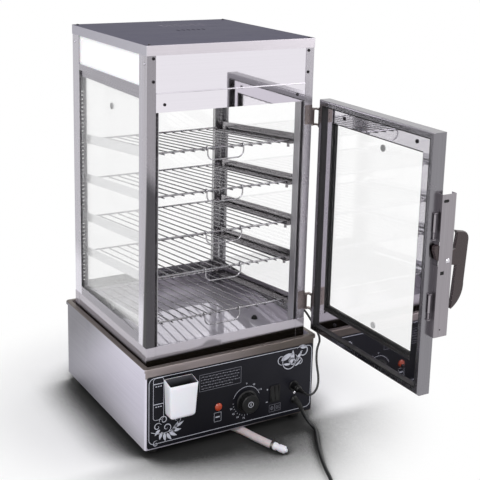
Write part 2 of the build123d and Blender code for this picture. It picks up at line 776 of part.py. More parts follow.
def mains_plug():
    """Three-blade plug lying on the table at the end of the coil."""
    path = coil_path()
    start = path @ 1
    x, y, z = start.X, start.Y, start.Z
    neck = turned(
        (x, y, z),
        (x + 1, y, z),
        [(0, 0), (0, MAINS_CORD_RADIUS + 1), (16, MAINS_CORD_RADIUS + 2.5), (18, MAINS_CORD_RADIUS + 2.5), (18, 0)],
    )
    height = 2 * (z - 0.2)
    sections = [
        Plane(origin=(x + 16, y, z), x_dir=(0, 1, 0), z_dir=(1, 0, 0)) * RectangleRounded(18, height - 8, 5),
        Plane(origin=(x + 32, y, z), x_dir=(0, 1, 0), z_dir=(1, 0, 0)) * RectangleRounded(36, height, 9),
        Plane(origin=(x + 52, y, z), x_dir=(0, 1, 0), z_dir=(1, 0, 0)) * RectangleRounded(36, height, 9),
    ]
    plug = neck + loft(sections, ruled=True)
    blade = Box(17, 6.3, 1.6)
    plug += Pos(x + 60, y, z - 7) * Rot(90, 0, 0) * blade
    for side in (-1, 1):
        plug += Pos(x + 60, y + side * 8, z + 4) * Rot(side * 60, 0, 0) * blade
    return plug


def water_tank():
    """Water bath hung by its flange on the deck, with holes for the spout, heater and drain."""
    middle_y = (TANK_FRONT_Y + TANK_BACK_Y) / 2
    depth_y = TANK_BACK_Y - TANK_FRONT_Y
    outer = Pos(0, middle_y, TANK_BOTTOM_Z) * extrude(RectangleRounded(TANK_WIDTH, depth_y, TANK_CORNER), TANK_DEPTH)
    flange_outline = RectangleRounded(TANK_WIDTH + 2 * TANK_FLANGE, depth_y + 2 * TANK_FLANGE, TANK_CORNER + 6)
    flange = Pos(0, middle_y, DECK_Z) * extrude(flange_outline, TANK_WALL)
    inner_outline = RectangleRounded(TANK_WIDTH - 2 * TANK_WALL, depth_y - 2 * TANK_WALL, TANK_CORNER - TANK_WALL)
    inner = Pos(0, middle_y, TANK_BOTTOM_Z + TANK_WALL) * extrude(inner_outline, TANK_DEPTH + 5)
    tank = outer + flange - inner
    low, high = TANK_FRONT_Y - 5, TANK_FRONT_Y + 5
    tank -= rod((CUP_CENTRE_X, low, spout_z()), (CUP_CENTRE_X, high, spout_z()), SPOUT_BORE)
    for x, _ in heater_legs():
        tank -= rod((x, low, heater_z()), (x, high, heater_z()), HEATER_RADIUS + 0.1)
    drain_x, drain_y, _ = drain_corner()
    tank -= Pos(drain_x, drain_y, TANK_BOTTOM_Z) * Cylinder(DRAIN_BORE, 6)
    return tank


def heater_z():
    """Height of the heater above the table."""
    return TANK_BOTTOM_Z + HEATER_RAISE


def heater_legs():
    """Where the heater's two legs pass the front wall of the bath, and which way the bend lies."""
    half = HEATER_SPREAD / 2
    return [(HEATER_X - half, 1), (HEATER_X + half, -1)]


def heating_element():
    """Tubular hairpin heater with a clamping nut each side of the bath's front wall."""
    half = HEATER_SPREAD / 2
    z = heater_z()
    start_y = TANK_FRONT_Y - 16
    bend_y = TANK_FRONT_Y + HEATER_REACH
    legs = [Line((HEATER_X + side * half, start_y, z), (HEATER_X + side * half, bend_y, z)) for side in (-1, 1)]
    bend = ThreePointArc(
        (HEATER_X - half, bend_y, z), (HEATER_X, bend_y + half, z), (HEATER_X + half, bend_y, z)
    )
    path = Wire([legs[0].edge(), bend.edge(), legs[1].edge()])
    tube = sweep(Plane(origin=(HEATER_X - half, start_y, z), z_dir=(0, 1, 0)) * Circle(HEATER_RADIUS), path=path)
    for x, _ in heater_legs():
        tube += rod((x, TANK_FRONT_Y - 7, z), (x, TANK_FRONT_Y, z), 2 * HEATER_RADIUS)
        tube += rod((x, TANK_FRONT_Y + TANK_WALL, z), (x, TANK_FRONT_Y + 6, z), 2 * HEATER_RADIUS)
    return tube


def hose_way():
    """Direction of the hose's first run."""
    return (Vector(*HOSE_POINTS[1]) - Vector(*HOSE_POINTS[0])).normalized()


def drain_corner():
    """Where the drain pipe turns from down to forward."""
    corner = Vector(*HOSE_POINTS[0]) - hose_way() * 24
    return corner.X, corner.Y, corner.Z


def drain_elbow():
    """Pipe from the bath's bottom that turns forward and ends in the barb inside the hose."""
    x, y, z = drain_corner()
    hose_start = Vector(*HOSE_POINTS[0])
    way = hose_way()
    top = TANK_BOTTOM_Z
    path = FilletPolyline((x, y, top), (x, y, z), tuple(hose_start - way * 2), radius=12)
    start = Plane(origin=(x, y, top), z_dir=(0, 0, -1))
    pipe = sweep(start * Circle(DRAIN_RADIUS), path=path)
    collar = rod(tuple(hose_start - way * 3), tuple(hose_start), DRAIN_RADIUS)
    barb = rod(tuple(hose_start), tuple(hose_start + way * HOSE_BARB), HOSE_BORE - 0.2)
    nut = Pos(x, y, top - 4) * extrude(RegularPolygon(DRAIN_RADIUS + 5, 6), 4)
    bore_path = FilletPolyline(
        (x, y, top + 1), (x, y, z), tuple(hose_start + way * (HOSE_BARB + 1)), radius=12
    )
    bore = sweep(Plane(origin=(x, y, top + 1), z_dir=(0, 0, -1)) * Circle(DRAIN_BORE - 0.5), path=bore_path)
    return pipe + collar + barb + nut - bore


def hose_axis(back_from_end):
    """Point on the hose's last run, so far before its end, and the run's direction."""
    end = Vector(*HOSE_POINTS[-1])
    way = (end - Vector(*HOSE_POINTS[-2])).normalized()
    return end - way * back_from_end, way


def drain_hose():
    """Soft hose from the elbow out under the front of the base."""
    path = cord_path("drain hose", HOSE_POINTS, 2 * HOSE_RADIUS)
    start = Plane(origin=path @ 0, z_dir=path % 0)
    hose = sweep(start * Circle(HOSE_RADIUS), path=path)
    return hose - sweep(start * Circle(HOSE_BORE), path=path)


def hose_clamp():
    """Sprung band round the end of the hose, with its two pinch ears."""
    start, way = hose_axis(7)
    seat = Plane(origin=start, x_dir=(0, 0, 1), z_dir=way)
    radius = HOSE_RADIUS + 0.15
    band = seat * extrude(Circle(radius + 0.9) - Circle(radius), 6)
    ears = seat * (Pos(radius + 3, 1.6, 3) * Box(6.4, 0.9, 6) + Pos(radius + 3, -1.6, 3) * Box(6.4, 0.9, 6))
    return band + ears


def hose_plug():
    """White stopper in the end of the hose."""
    end, way = hose_axis(0)
    profile = [
        (-HOSE_BARB, 0),
        (-HOSE_BARB, HOSE_BORE - 0.7),
        (-1, HOSE_BORE - 0.2),
        (0, HOSE_BORE - 0.2),
        (0, HOSE_RADIUS),
        (5, HOSE_RADIUS),
        (6, HOSE_RADIUS - 1.5),
        (12, HOSE_RADIUS - 1.5),
        (13, HOSE_RADIUS - 0.2),
        (26, HOSE_RADIUS - 0.2),
        (28, HOSE_RADIUS - 2),
        (28, 4),
        (32, 3.5),
        (32, 0),
    ]
    return turned(tuple(end), tuple(end + way), profile)


# Cabinet


def floor_tray():
    """Mirror floor with upright walls that carry the cabinet, standing in the gutter."""
    low = DECK_Z
    outer = slab((-HALF_CABINET, HALF_CABINET), (CABINET_FRONT_Y, CABINET_BACK_Y), (low, TRAY_TOP_Z))
    inner_x = HALF_CABINET - TRAY_SHEET
    inner_y = (CABINET_FRONT_Y + TRAY_SHEET, CABINET_BACK_Y - TRAY_SHEET)
    above = slab((-inner_x, inner_x), inner_y, (TRAY_FLOOR_Z, TRAY_TOP_Z + 1))
    below = slab((-inner_x, inner_x), inner_y, (low - 1, TRAY_FLOOR_Z - TRAY_SHEET))
    tray = outer - above - below
    for x in (-1, 1):
        for y, outward in ((CABINET_FRONT_Y, -1), (CABINET_BACK_Y, 1)):
            corner = slab((-11, 11), (-11, 11), (low, TRAY_TOP_Z))
            corner = fillet(corner.edges().filter_by(Axis.Z), 1.0)
            place = Pos(x * (HALF_CABINET - 10.2), y - outward * 10.2, 0)
            tray += place * corner - above - below
    for column in range(3):
        for row in range(3):
            tray -= Pos(-64 + 9 * column, 17 + 9 * row, TRAY_FLOOR_Z) * Cylinder(2.5, 10)
    return tray - Pos(142, -71, TRAY_FLOOR_Z) * Cylinder(4.2, 10)


def tray_plug():
    """Black rubber plug in the tray's floor."""
    profile = [(-6, 0), (-6, 5.0), (-TRAY_SHEET, 5.0), (-TRAY_SHEET, 4.0), (0, 4.0), (0, 7.5), (4, 6.5), (8, 3), (8, 0)]
    return turned((142, -71, TRAY_FLOOR_Z), (142, -71, TRAY_FLOOR_Z + 1), profile)


def corner_posts():
    """Four angle posts that stand on the tray's corners."""
    posts = []
    for y, inward in ((CABINET_FRONT_Y, 1), (CABINET_BACK_Y, -1)):
        face_y = sorted((y, y + inward * SHEET))
        side_y = sorted((y, y + inward * POST_SIDE_WIDTH))
        face = slab((HALF_CABINET - POST_FRONT_WIDTH, HALF_CABINET), face_y, (TRAY_TOP_Z, POST_TOP_Z))
        side = slab((POST_WALL_X, HALF_CABINET), side_y, (TRAY_TOP_Z, POST_TOP_Z))
        post = face + side
        for x, z in header_screw_places():
            post -= Pos(x, y, z) * Rot(90, 0, 0) * Cylinder(SCREW_SHANK + 0.3, 10)
        post -= side_screw_place(y, inward) * Cylinder(SCREW_SHANK + 0.3, 10)
        posts += [post, mirrored(post)]
    return group(posts)


def header_screw_places():
    """Two screws in the face of each right-hand post, and their mates on the left."""
    return [(x, z) for x in (14 - HALF_CABINET, HALF_CABINET - 14) for z in (POST_TOP_Z - 25, POST_TOP_Z - 71)]


def side_screw_place(post_y, inward):
    """Bright screw in the side of a right-hand post, its head to the right."""
    return Pos(HALF_CABINET, post_y + inward * 12.5, POST_TOP_Z - 36) * Rot(0, 90, 0)


def header_front():
    """Mirror panel behind the front posts and the strip below it that covers the door's head."""
    reach = HALF_CABINET - 6
    panel = slab((-reach, reach), (FRONT_WALL_Y, FRONT_WALL_Y + SHEET), (HEADER_SPLIT_Z - 30, POST_TOP_Z))
    strip_reach = HALF_CABINET - POST_FRONT_WIDTH - 0.5
    strip = slab((-strip_reach, strip_reach), (CABINET_FRONT_Y, FRONT_WALL_Y), (HEADER_BOTTOM_Z, HEADER_SPLIT_Z))
    soffit_y = (CABINET_FRONT_Y, CABINET_FRONT_Y + 22)
    strip += slab((-strip_reach + 9, strip_reach - 9), soffit_y, (HEADER_BOTTOM_Z, HEADER_BOTTOM_Z + SHEET))
    bead_z = HEADER_SPLIT_Z
    strip += rod((-strip_reach, CABINET_FRONT_Y, bead_z), (strip_reach, CABINET_FRONT_Y, bead_z), 1.1) & slab(
        (-strip_reach, strip_reach), (CABINET_FRONT_Y - 3, FRONT_WALL_Y), (bead_z - 3, bead_z + 3)
    )
    for x, z in header_screw_places() + strip_screw_places():
        cut = Pos(x, CABINET_FRONT_Y, z) * Rot(90, 0, 0) * Cylinder(SCREW_SHANK + 0.3, 10)
        panel -= cut
        strip -= cut
    return group([panel, strip])


def strip_screw_places():
    """Screws near the ends of the strip."""
    return [(x, HEADER_BOTTOM_Z + 15.5) for x in (-157, 157)]


def glazing_bar(profile, low, high):
    """Bar of one section, from low to high along Y, on the right side of the cabinet."""
    face = make_face(Polyline(*profile, close=True))
    plane = Plane(origin=(0, high, 0), x_dir=(1, 0, 0), z_dir=(0, -1, 0))
    return plane * extrude(face, high - low)


def upper_profile(outer):
    """Two-step section of an upper bar; outer is the distance of its face from the middle."""
    inner = outer - BAR_STEP
    return [
        (outer, BAR_TOP_Z),
        (outer, BAR_STEP_Z),
        (inner, BAR_STEP_Z),
        (inner, BAR_BOTTOM_Z),
        (inner - SHEET, BAR_BOTTOM_Z),
        (inner - SHEET, BAR_STEP_Z + SHEET),
        (outer - SHEET, BAR_STEP_Z + SHEET),
        (outer - SHEET, BAR_TOP_Z - SHEET),
        (outer - 9, BAR_TOP_Z - SHEET),
        (outer - 9, BAR_TOP_Z),
    ]


def lower_profile(outer):
    """Angle section of a lower bar."""
    top = TRAY_TOP_Z + LOWER_BAR_HEIGHT
    return [
        (outer, TRAY_TOP_Z),
        (outer, top),
        (outer - SHEET, top),
        (outer - SHEET, TRAY_TOP_Z + SHEET),
        (outer - 15, TRAY_TOP_Z + SHEET),
        (outer - 15, TRAY_TOP_Z),
    ]


def glazing_bars():
    """Upper and lower bars that hold the panes on both sides and the back."""
    low, high = CABINET_FRONT_Y + POST_SIDE_WIDTH, CABINET_BACK_Y - POST_SIDE_WIDTH
    across = HALF_CABINET - POST_FRONT_WIDTH
    start = LAMP_CORD_POINTS[0]
    bars = []
    for profile in (upper_profile, lower_profile):
        side = glazing_bar(profile(HALF_CABINET), low, high)
        bars.append(mirrored(side))
        if profile is lower_profile:
            hole_end = (HALF_CABINET - 5, start[1], start[2])
            side -= rod(hole_end, (HALF_CABINET + 5, start[1], start[2]), LAMP_CORD_RADIUS + 1.6)
        bars.append(side)
        back = Rot(0, 0, 90) * glazing_bar(profile(CABINET_BACK_Y), -across, across)
        for x in ((STRIP_INNER_X - 0.3, across + 1), (-across - 1, 0.3 - STRIP_INNER_X)):
            back -= slab(x, (STRIP_BACK_Y - 1, BACK_WALL_Y - 1), (TRAY_TOP_Z - 1, TRAY_TOP_Z + 2 * SHEET))
        bars.append(back)
    return group(bars)


def light_box_panes():
    """Opal panels of the light box on three sides and the clear pane under the lamp."""
    low, high = FRONT_WALL_Y + SHEET + 1, CABINET_BACK_Y - 10
    top = POST_TOP_Z - 1
    outer = HALF_CABINET - 3
    side = slab((outer - OPAL_THICK, outer), (low, high), (BAR_TOP_Z, top))
    back_y = (CABINET_BACK_Y - 3 - OPAL_THICK, CABINET_BACK_Y - 3)
    back = slab((3 - outer, outer - 3), back_y, (BAR_TOP_Z, top))
    reach = HALF_CABINET - BAR_STEP - SHEET - 1
    floor_y = (FRONT_WALL_Y + SHEET + 0.8, CABINET_BACK_Y - BAR_STEP - SHEET - 1)
    floor = slab((-reach, reach), floor_y, (CEILING_Z, CEILING_Z + CEILING_THICK))
    return group([side, mirrored(side), back, floor])


def ceiling_lamp():
    """Tube lamp across the light box, in two holders that hang from the lid."""
    half = LAMP_LENGTH / 2
    tube = rod((-half, 0, LAMP_Z), (half, 0, LAMP_Z), LAMP_RADIUS)
    pieces = [tube]
    for side in (-1, 1):
        x = side * (half + 8)
        holder = slab((x - 8, x + 8), (-13, 13), (LAMP_Z - 13, POST_TOP_Z))
        holder = fillet(holder.edges().filter_by(Axis.X).group_by(Axis.Z)[0], 6)
        pieces.append(holder)
    return group(pieces)


def lid():
    """Folded lid whose skirt laps over the posts, with vent slots towards the back."""
    reach_x = HALF_CABINET + LID_GAP + SHEET
    front, back = CABINET_FRONT_Y - LID_GAP - SHEET, CABINET_BACK_Y + LID_GAP + SHEET
    outer = slab((-reach_x, reach_x), (front, back), (SKIRT_BOTTOM_Z, LID_TOP_Z))
    outer = fillet(outer.edges().filter_by(Axis.Z), 2.0)
    outer = fillet(outer.faces().sort_by(Axis.Z)[-1].edges(), 0.9)
    inside = slab(
        (SHEET - reach_x, reach_x - SHEET), (front + SHEET, back - SHEET), (SKIRT_BOTTOM_Z - 1, POST_TOP_Z)
    )
    top = outer - inside
    for column in range(6):
        for row in range(2):
            top -= Pos(-15 + 20 * column, 95 + 22 * row, LID_TOP_Z) * Box(12, 2.5, 4 * SHEET)
    for place in lid_screw_places():
        top -= place * Cylinder(SCREW_SHANK + 0.3, 10)
    return top


def lid_screw_places():
    """The lid's four corner screws, just inside the posts."""
    middle_y = (CABINET_FRONT_Y + CABINET_BACK_Y) / 2
    half_y = (CABINET_BACK_Y - CABINET_FRONT_Y) / 2
    return [Pos(x * (HALF_CABINET - 9), middle_y + y * (half_y - 9), LID_TOP_Z) for x in (-1, 1) for y in (-1, 1)]


def screw(head_radius, head_height, shank):
    """Pan-head screw, head up, seated at z 0."""
    profile = [
        (-shank, 0),
        (-shank, SCREW_SHANK),
        (0, SCREW_SHANK),
        (0, head_radius),
        (head_height * 0.55, head_radius),
        (head_height, head_radius * 0.55),
        (head_height, 0),
    ]
    return turned((0, 0, 0), (0, 0, 1), profile)


def frame_screws():
    """Dark screws: lid corners, header panel and header strip."""
    screws = [place * screw(3.0, 1.8, 7) for place in lid_screw_places()]
    facing = Rot(90, 0, 0)
    for x, z in header_screw_places() + strip_screw_places():
        screws.append(Pos(x, CABINET_FRONT_Y, z) * facing * screw(3.2, 2.0, 3.5))
    return group(screws)


def bright_screws():
    """Bright screws: sides of the posts near the top, and the earth screw on the panel."""
    screws = []
    for y, inward in ((CABINET_FRONT_Y, 1), (CABINET_BACK_Y, -1)):
        right = side_screw_place(y, inward) * screw(3.2, 2.2, 2.5)
        screws += [right, mirrored(right)]
    earth_x, earth_z = earth_screw_place()
    screws.append(Pos(earth_x, PANEL_FRONT_Y, earth_z) * Rot(90, 0, 0) * screw(3.4, 2.2, 6))
    return group(screws)


def pane_faces():
    """Distances from the cabinet's outer plane to the faces of the two panes."""
    first = PANE_INSET
    second = first + PANE_THICK + PANE_GAP
    return [(first, first + PANE_THICK), (second, second + PANE_THICK)]


def cabinet_glass():
    """Double panes on the left, the right and the back."""
    low, high = TRAY_TOP_Z + SHEET, CEILING_Z - 0.3
    side_y = (STRIP_FRONT_Y + 0.5, STRIP_BACK_Y - 0.5)
    reach = STRIP_INNER_X - 0.5
    panes = []
    for near, far in pane_faces():
        side = slab((HALF_CABINET - far, HALF_CABINET - near), side_y, (low, high))
        back = slab((-reach, reach), (CABINET_BACK_Y - far, CABINET_BACK_Y - near), (low, high))
        panes += [side, mirrored(side), back]
    return group(panes)


def glass_spacers():
    """Round spacers between the two panes of each side."""
    near = pane_faces()[0][1]
    far = pane_faces()[1][0]
    discs = []
    for z in (CEILING_Z - 52, TRAY_TOP_Z + 23):
        right = rod((HALF_CABINET - far, 0, z), (HALF_CABINET - near, 0, z), SPACER_RADIUS)
        discs += [right, mirrored(right)]
        discs.append(rod((0, CABINET_BACK_Y - far, z), (0, CABINET_BACK_Y - near, z), SPACER_RADIUS))
    return group(discs)


def slot_z(index):
    """Height of a slot's middle, counted from the lowest."""
    return SLOT_FIRST_Z + SLOT_PITCH * index


def slot_strips():
    """Four angle strips behind the posts, slotted for the rails' hooks."""
    strips = []
    walls = ((STRIP_FRONT_Y, -1, FRONT_WALL_Y), (STRIP_BACK_Y, 1, BACK_WALL_Y))
    for face_y, outward, wall_y in walls:
        face = slab((STRIP_INNER_X, STRIP_OUTER_X), sorted((face_y, face_y + outward * SHEET)), (TRAY_FLOOR_Z, CEILING_Z))
        cheek_y = sorted((face_y, wall_y - outward * 1.5))
        cheek = slab((STRIP_INNER_X, STRIP_INNER_X + SHEET), cheek_y, (TRAY_FLOOR_Z, HEADER_BOTTOM_Z - 1))
        strip = face + cheek
        slots = [
            Pos(RAIL_WEB_X, face_y, slot_z(index)) * Box(SLOT_WIDTH, 6 * SHEET, SLOT_HEIGHT)
            for index in range(SLOT_COUNT)
        ]
        strip = strip.cut(*slots)
        strips += [strip, mirrored(strip)]
    return group(strips)


def rail_top(slot):
    """Height of a rail's top edge at the front strip for its upper hook's slot."""
    return slot_z(slot) + 4.0


def rack_plane(slot):
    """Frame of a rack: X across, Y down the slope to the back, Z square to the slope."""
    return Plane(origin=(0, STRIP_FRONT_Y, rail_top(slot)), x_dir=(1, 0, 0), z_dir=(0, sin(SLOPE), cos(SLOPE)))


def rail_end(face_y, inward, slot):
    """End plate of a rail with two hooks through the strip's slots."""
    top, bottom = slot_z(slot) + 4.5, slot_z(slot - 1) - 6.0
    plate_y = sorted((face_y, face_y + inward * SHEET))
    clip = slab((RAIL_WEB_X - 5.5, RAIL_WEB_X + 2.2), plate_y, (bottom, top))
    for index in (slot, slot - 1):
        low = slot_z(index) - SLOT_HEIGHT / 2 + 0.1
        reach_y = sorted((face_y + inward * SHEET / 2, face_y - inward * RAIL_HOOK_DEPTH))
        tab = slab((RAIL_WEB_X - 1, RAIL_WEB_X + 1), reach_y, (low, low + 2.2))
        lip_y = sorted((face_y - inward * (SHEET + 0.3), face_y - inward * RAIL_HOOK_DEPTH))
        lip = slab((RAIL_WEB_X - 1, RAIL_WEB_X + 1), lip_y, (low - 2.2, low + 0.5))
        clip += tab + lip
    return clip


def rack_rail(slot):
    """Sloping angle rail on the right: web, inward ledge, hooked ends and the stop pin."""
    length = (STRIP_BACK_Y - STRIP_FRONT_Y) / cos(SLOPE)
    outline = [
        (RAIL_OUTER_X, 0),
        (RAIL_OUTER_X, -RAIL_WEB),
        (RAIL_OUTER_X - RAIL_LEDGE, -RAIL_WEB),
        (RAIL_OUTER_X - RAIL_LEDGE, LEDGE_TOP_W),
        (RAIL_OUTER_X - RAIL_SHEET, LEDGE_TOP_W),
        (RAIL_OUTER_X - RAIL_SHEET, 0),
    ]
    across = Plane(origin=(0, 12, 0), x_dir=(1, 0, 0), z_dir=(0, -1, 0))
    bar = across * extrude(make_face(Polyline(*outline, close=True)), -(length + 24))
    bar = Pos(0, -24, 0) * bar
    bar = rack_plane(slot) * bar
    room = slab((0, HALF_CABINET), (STRIP_FRONT_Y + 0.3, STRIP_BACK_Y - 0.3), (0, POST_TOP_Z))
    rail = bar & room
    rail += rail_end(STRIP_FRONT_Y, 1, slot)
    rail += rail_end(STRIP_BACK_Y, -1, slot - RAIL_DROP_SLOTS)
    pin_x = RAIL_OUTER_X - RAIL_LEDGE + 8
    pin_top = rail_top(slot) - RAIL_WEB - 2
    rail += rod((pin_x, STRIP_FRONT_Y + 20, pin_top), (pin_x, STRIP_FRONT_Y + 20, pin_top - 9), 3.0)
    return rail


def rack_rails():
    """Ten rails, a pair for each rack."""
    rails = []
    for slot in RAIL_SLOTS:
        rail = rack_rail(slot)
        rails += [rail, mirrored(rail)]
    return group(rails)


def wire_rack(slot):
    """Rack of straight wires welded under a front and a back cross wire."""
    wires = []
    for index in range(-WIRES_EACH_SIDE, WIRES_EACH_SIDE + 1):
        x = index * WIRE_PITCH
        wires.append(rod((x, RACK_FRONT_S - WIRE_STUB, WIRE_W), (x, RACK_BACK_S + 3, WIRE_W), WIRE_RADIUS))
    rack = rod((-CROSS_REACH, RACK_FRONT_S, CROSS_W), (CROSS_REACH, RACK_FRONT_S, CROSS_W), CROSS_RADIUS)
    back = rod((-CROSS_REACH, RACK_BACK_S, CROSS_W), (CROSS_REACH, RACK_BACK_S, CROSS_W), CROSS_RADIUS)
    rack = rack.fuse(back, *wires)
    return rack_plane(slot) * Part(rack.wrapped)


def front_wire_centre(slot):
    """Place of a rack's front cross wire, which its bail hangs on."""
    return rack_plane(slot).from_local_coords(Vector(0, RACK_FRONT_S, CROSS_W))


def bail_handle(slot):
    """Bail hooked round the front wire by a loop at each end, hanging plumb."""
    centre = front_wire_centre(slot)
    ring = CROSS_RADIUS + BAIL_CLEARANCE + BAIL_RADIUS
    left, right, low = BAIL_LEFT_X, BAIL_RIGHT_X, -BAIL_DROP

    def loop(x):
        """Three-quarter turn over the wire, ending behind it."""
        return ThreePointArc((x, 0, -ring), (x, ring * sin(pi / 4), ring * cos(pi / 4)), (x, -ring, 0))

    legs = FilletPolyline((left, -ring, 0), (left, -ring, low), (right, -ring, low), (right, -ring, 0), radius=BAIL_CORNER)
    pieces = [loop(left).edge(), *legs.edges(), loop(right).edge()]
    path = Wire(pieces)
    start = Plane(origin=path @ 0, z_dir=path % 0)
    bail = sweep(start * Circle(BAIL_RADIUS), path=path)
    return Pos(0, centre.Y, centre.Z) * bail


# Door


def door_ring(inset, width_side, width_top, width_bottom, low_x, high_x):
    """Ring parallel to the door, from an inset of its outline to given insets on each side."""
    outer = slab(
        (low_x, high_x), (DOOR_FREE_Y + inset, DOOR_HINGE_Y - inset), (DOOR_BOTTOM_Z + inset, DOOR_TOP_Z - inset)
    )
    hole = slab(
        (low_x - 1, high_x + 1),
        (DOOR_FREE_Y + width_side, DOOR_HINGE_Y - width_side),
        (DOOR_BOTTOM_Z + width_bottom, DOOR_TOP_Z - width_top),
    )
    return outer - hole


def door_frame():
    """Four members of the door's edge, mitred at the corners, rounded towards the cabinet."""
    ring = door_ring(0, DOOR_LIP, DOOR_LIP, DOOR_LIP, DOOR_INNER_X, DOOR_OUTER_X)
    outer_edges = ring.faces().sort_by(Axis.X)[0].outer_wire().edges()
    ring = fillet(outer_edges, 4.0)
    middle_y = (DOOR_HINGE_Y + DOOR_FREE_Y) / 2
    middle_z = (DOOR_BOTTOM_Z + DOOR_TOP_Z) / 2
    reach = DOOR_LIP + 1
    side = Plane(origin=(DOOR_INNER_X - 1, 0, 0), x_dir=(0, 1, 0), z_dir=(1, 0, 0))
    members = []
    for end_z, inward in ((DOOR_TOP_Z, -1), (DOOR_BOTTOM_Z, 1)):
        half = DOOR_WIDTH / 2
        corners = [
            (middle_y - half - 1, end_z - inward),
            (middle_y + half + 1, end_z - inward),
            (middle_y + half - reach, end_z + inward * reach),
            (middle_y - half + reach, end_z + inward * reach),
        ]
        wedge = side * extrude(make_face(Polyline(*corners, close=True)), DOOR_THICK + 2)
        members.append(ring & wedge)
    for end_y, inward in ((DOOR_HINGE_Y, -1), (DOOR_FREE_Y, 1)):
        half = DOOR_HEIGHT / 2
        corners = [
            (end_y - inward, middle_z - half - 1),
            (end_y - inward, middle_z + half + 1),
            (end_y + inward * reach, middle_z + half - reach),
            (end_y + inward * reach, middle_z - half + reach),
        ]
        wedge = side * extrude(make_face(Polyline(*corners, close=True)), DOOR_THICK + 2)
        members.append(ring & wedge)
    return group(members)


def door_bands():
    """Mirror band towards the cabinet and the plain band outside, both round the glass."""
    inner = door_ring(DOOR_LIP, DOOR_BAND_SIDE, DOOR_BAND_TOP, DOOR_BAND_BOTTOM, BAND_X, BAND_X + SHEET)
    for y, z in door_screw_places():
        inner -= rod((BAND_X - 3, y, z), (BAND_X + 3, y, z), 2.0)
    outer_x = DOOR_OUTER_X - 1.0
    outer = door_ring(DOOR_LIP, DOOR_BAND_SIDE, DOOR_BAND_TOP, DOOR_BAND_BOTTOM, outer_x - SHEET, outer_x)
    return group([inner, outer])


def door_seals():
    """Black seal in the corner between the lip and the mirror band, and the glazing channel."""
    width = DOOR_LIP + GASKET_WIDTH
    seal = door_ring(DOOR_LIP, width, width, width, DOOR_INNER_X + 0.6, BAND_X)
    return group([seal, door_channel()])


def glazing_insets():
    """Insets of the glazing channel's inner edge: sides, top, bottom."""
    return DOOR_BAND_SIDE + 4, DOOR_BAND_TOP + 4, DOOR_BAND_BOTTOM + 12


def door_channel():
    """Stepped glazing channel between the bands that grips the panes' edges."""
    side, top, bottom = glazing_insets()
    low, high = BAND_X + SHEET, DOOR_OUTER_X - 1.0 - SHEET
    outer = slab(
        (low, high),
        (DOOR_FREE_Y + DOOR_BAND_SIDE - CHANNEL_BITE, DOOR_HINGE_Y - DOOR_BAND_SIDE + CHANNEL_BITE),
        (DOOR_BOTTOM_Z + DOOR_BAND_BOTTOM - CHANNEL_BITE, DOOR_TOP_Z - DOOR_BAND_TOP + CHANNEL_BITE),
    )
    body = outer & door_ring(0, side - 2, top - 2, bottom - 6, low, high)
    step = outer & door_ring(0, side, top, bottom, low + 4, high - 3)
    channel = body + step
    for pane in door_pane_slots():
        channel -= pane
    return channel


def door_pane_slots():
    """Space of the two panes in the channel."""
    side, top, bottom = glazing_insets()
    slots = []
    for low in (BAND_X + SHEET + 4.5, DOOR_OUTER_X - 2 - 2 * SHEET - DOOR_PANE - 1.5):
        slots.append(
            slab(
                (low, low + DOOR_PANE),
                (DOOR_FREE_Y + side - PANE_BITE, DOOR_HINGE_Y - side + PANE_BITE),
                (DOOR_BOTTOM_Z + bottom - PANE_BITE, DOOR_TOP_Z - top + PANE_BITE),
            )
        )
    return slots


def door_glass():
    """The door's two panes, seated in the channel."""
    return group(door_pane_slots())


def door_spacers():
    """Round spacers between the door's panes, near the top and the bottom."""
    first, second = [pane.bounding_box() for pane in door_pane_slots()]
    middle_y = (DOOR_HINGE_Y + DOOR_FREE_Y) / 2 - 17
    discs = []
    for z in (DOOR_TOP_Z - 66, DOOR_BOTTOM_Z + 82.5):
        discs.append(rod((first.max.X, middle_y, z), (second.min.X, middle_y, z), SPACER_RADIUS))
    return group(discs)


def door_screw_places():
    """The band's four screws, above and below the glass."""
    places = []
    for y in (DOOR_HINGE_Y - 84.5, DOOR_FREE_Y + 60):
        places += [(y, DOOR_TOP_Z - 28), (y, DOOR_BOTTOM_Z + 38)]
    return places


def door_screws():
    """Screws on the mirror band."""
    return group([Pos(BAND_X, y, z) * Rot(0, -90, 0) * screw(4.2, 2.4, 9) for y, z in door_screw_places()])


def hinge_leaves():
    """Leaf on the post with the knuckle wrapped round the post's corner, twice."""
    leaves = []
    for low in KNUCKLE_BOTTOMS:
        leaf_y = (CABINET_FRONT_Y - LEAF_THICK, CABINET_FRONT_Y)
        plate = slab((HALF_CABINET - 17.5, HALF_CABINET - 0.5), leaf_y, (low, low + KNUCKLE_HEIGHT + LEAF_HEADROOM))
        plate = fillet(plate.edges().filter_by(Axis.Y), 1.5)
        wrap = slab((HALF_CABINET - 2, PIVOT_X), leaf_y, (low, low + KNUCKLE_HEIGHT))
        knuckle = rod((PIVOT_X, PIVOT_Y, low), (PIVOT_X, PIVOT_Y, low + KNUCKLE_HEIGHT), KNUCKLE_RADIUS)
        leaf = plate + wrap + knuckle
        leaf -= rod((PIVOT_X, PIVOT_Y, low - 1), (PIVOT_X, PIVOT_Y, low + 60), HINGE_PIN_RADIUS + HINGE_PLAY)
        for step in range(3):
            z = low + 7 + 14 * step
            leaf -= rod((HALF_CABINET - 9, CABINET_FRONT_Y - 5, z), (HALF_CABINET - 9, CABINET_FRONT_Y + 1, z), 1.6)
        leaves.append(leaf)
    return group(leaves)


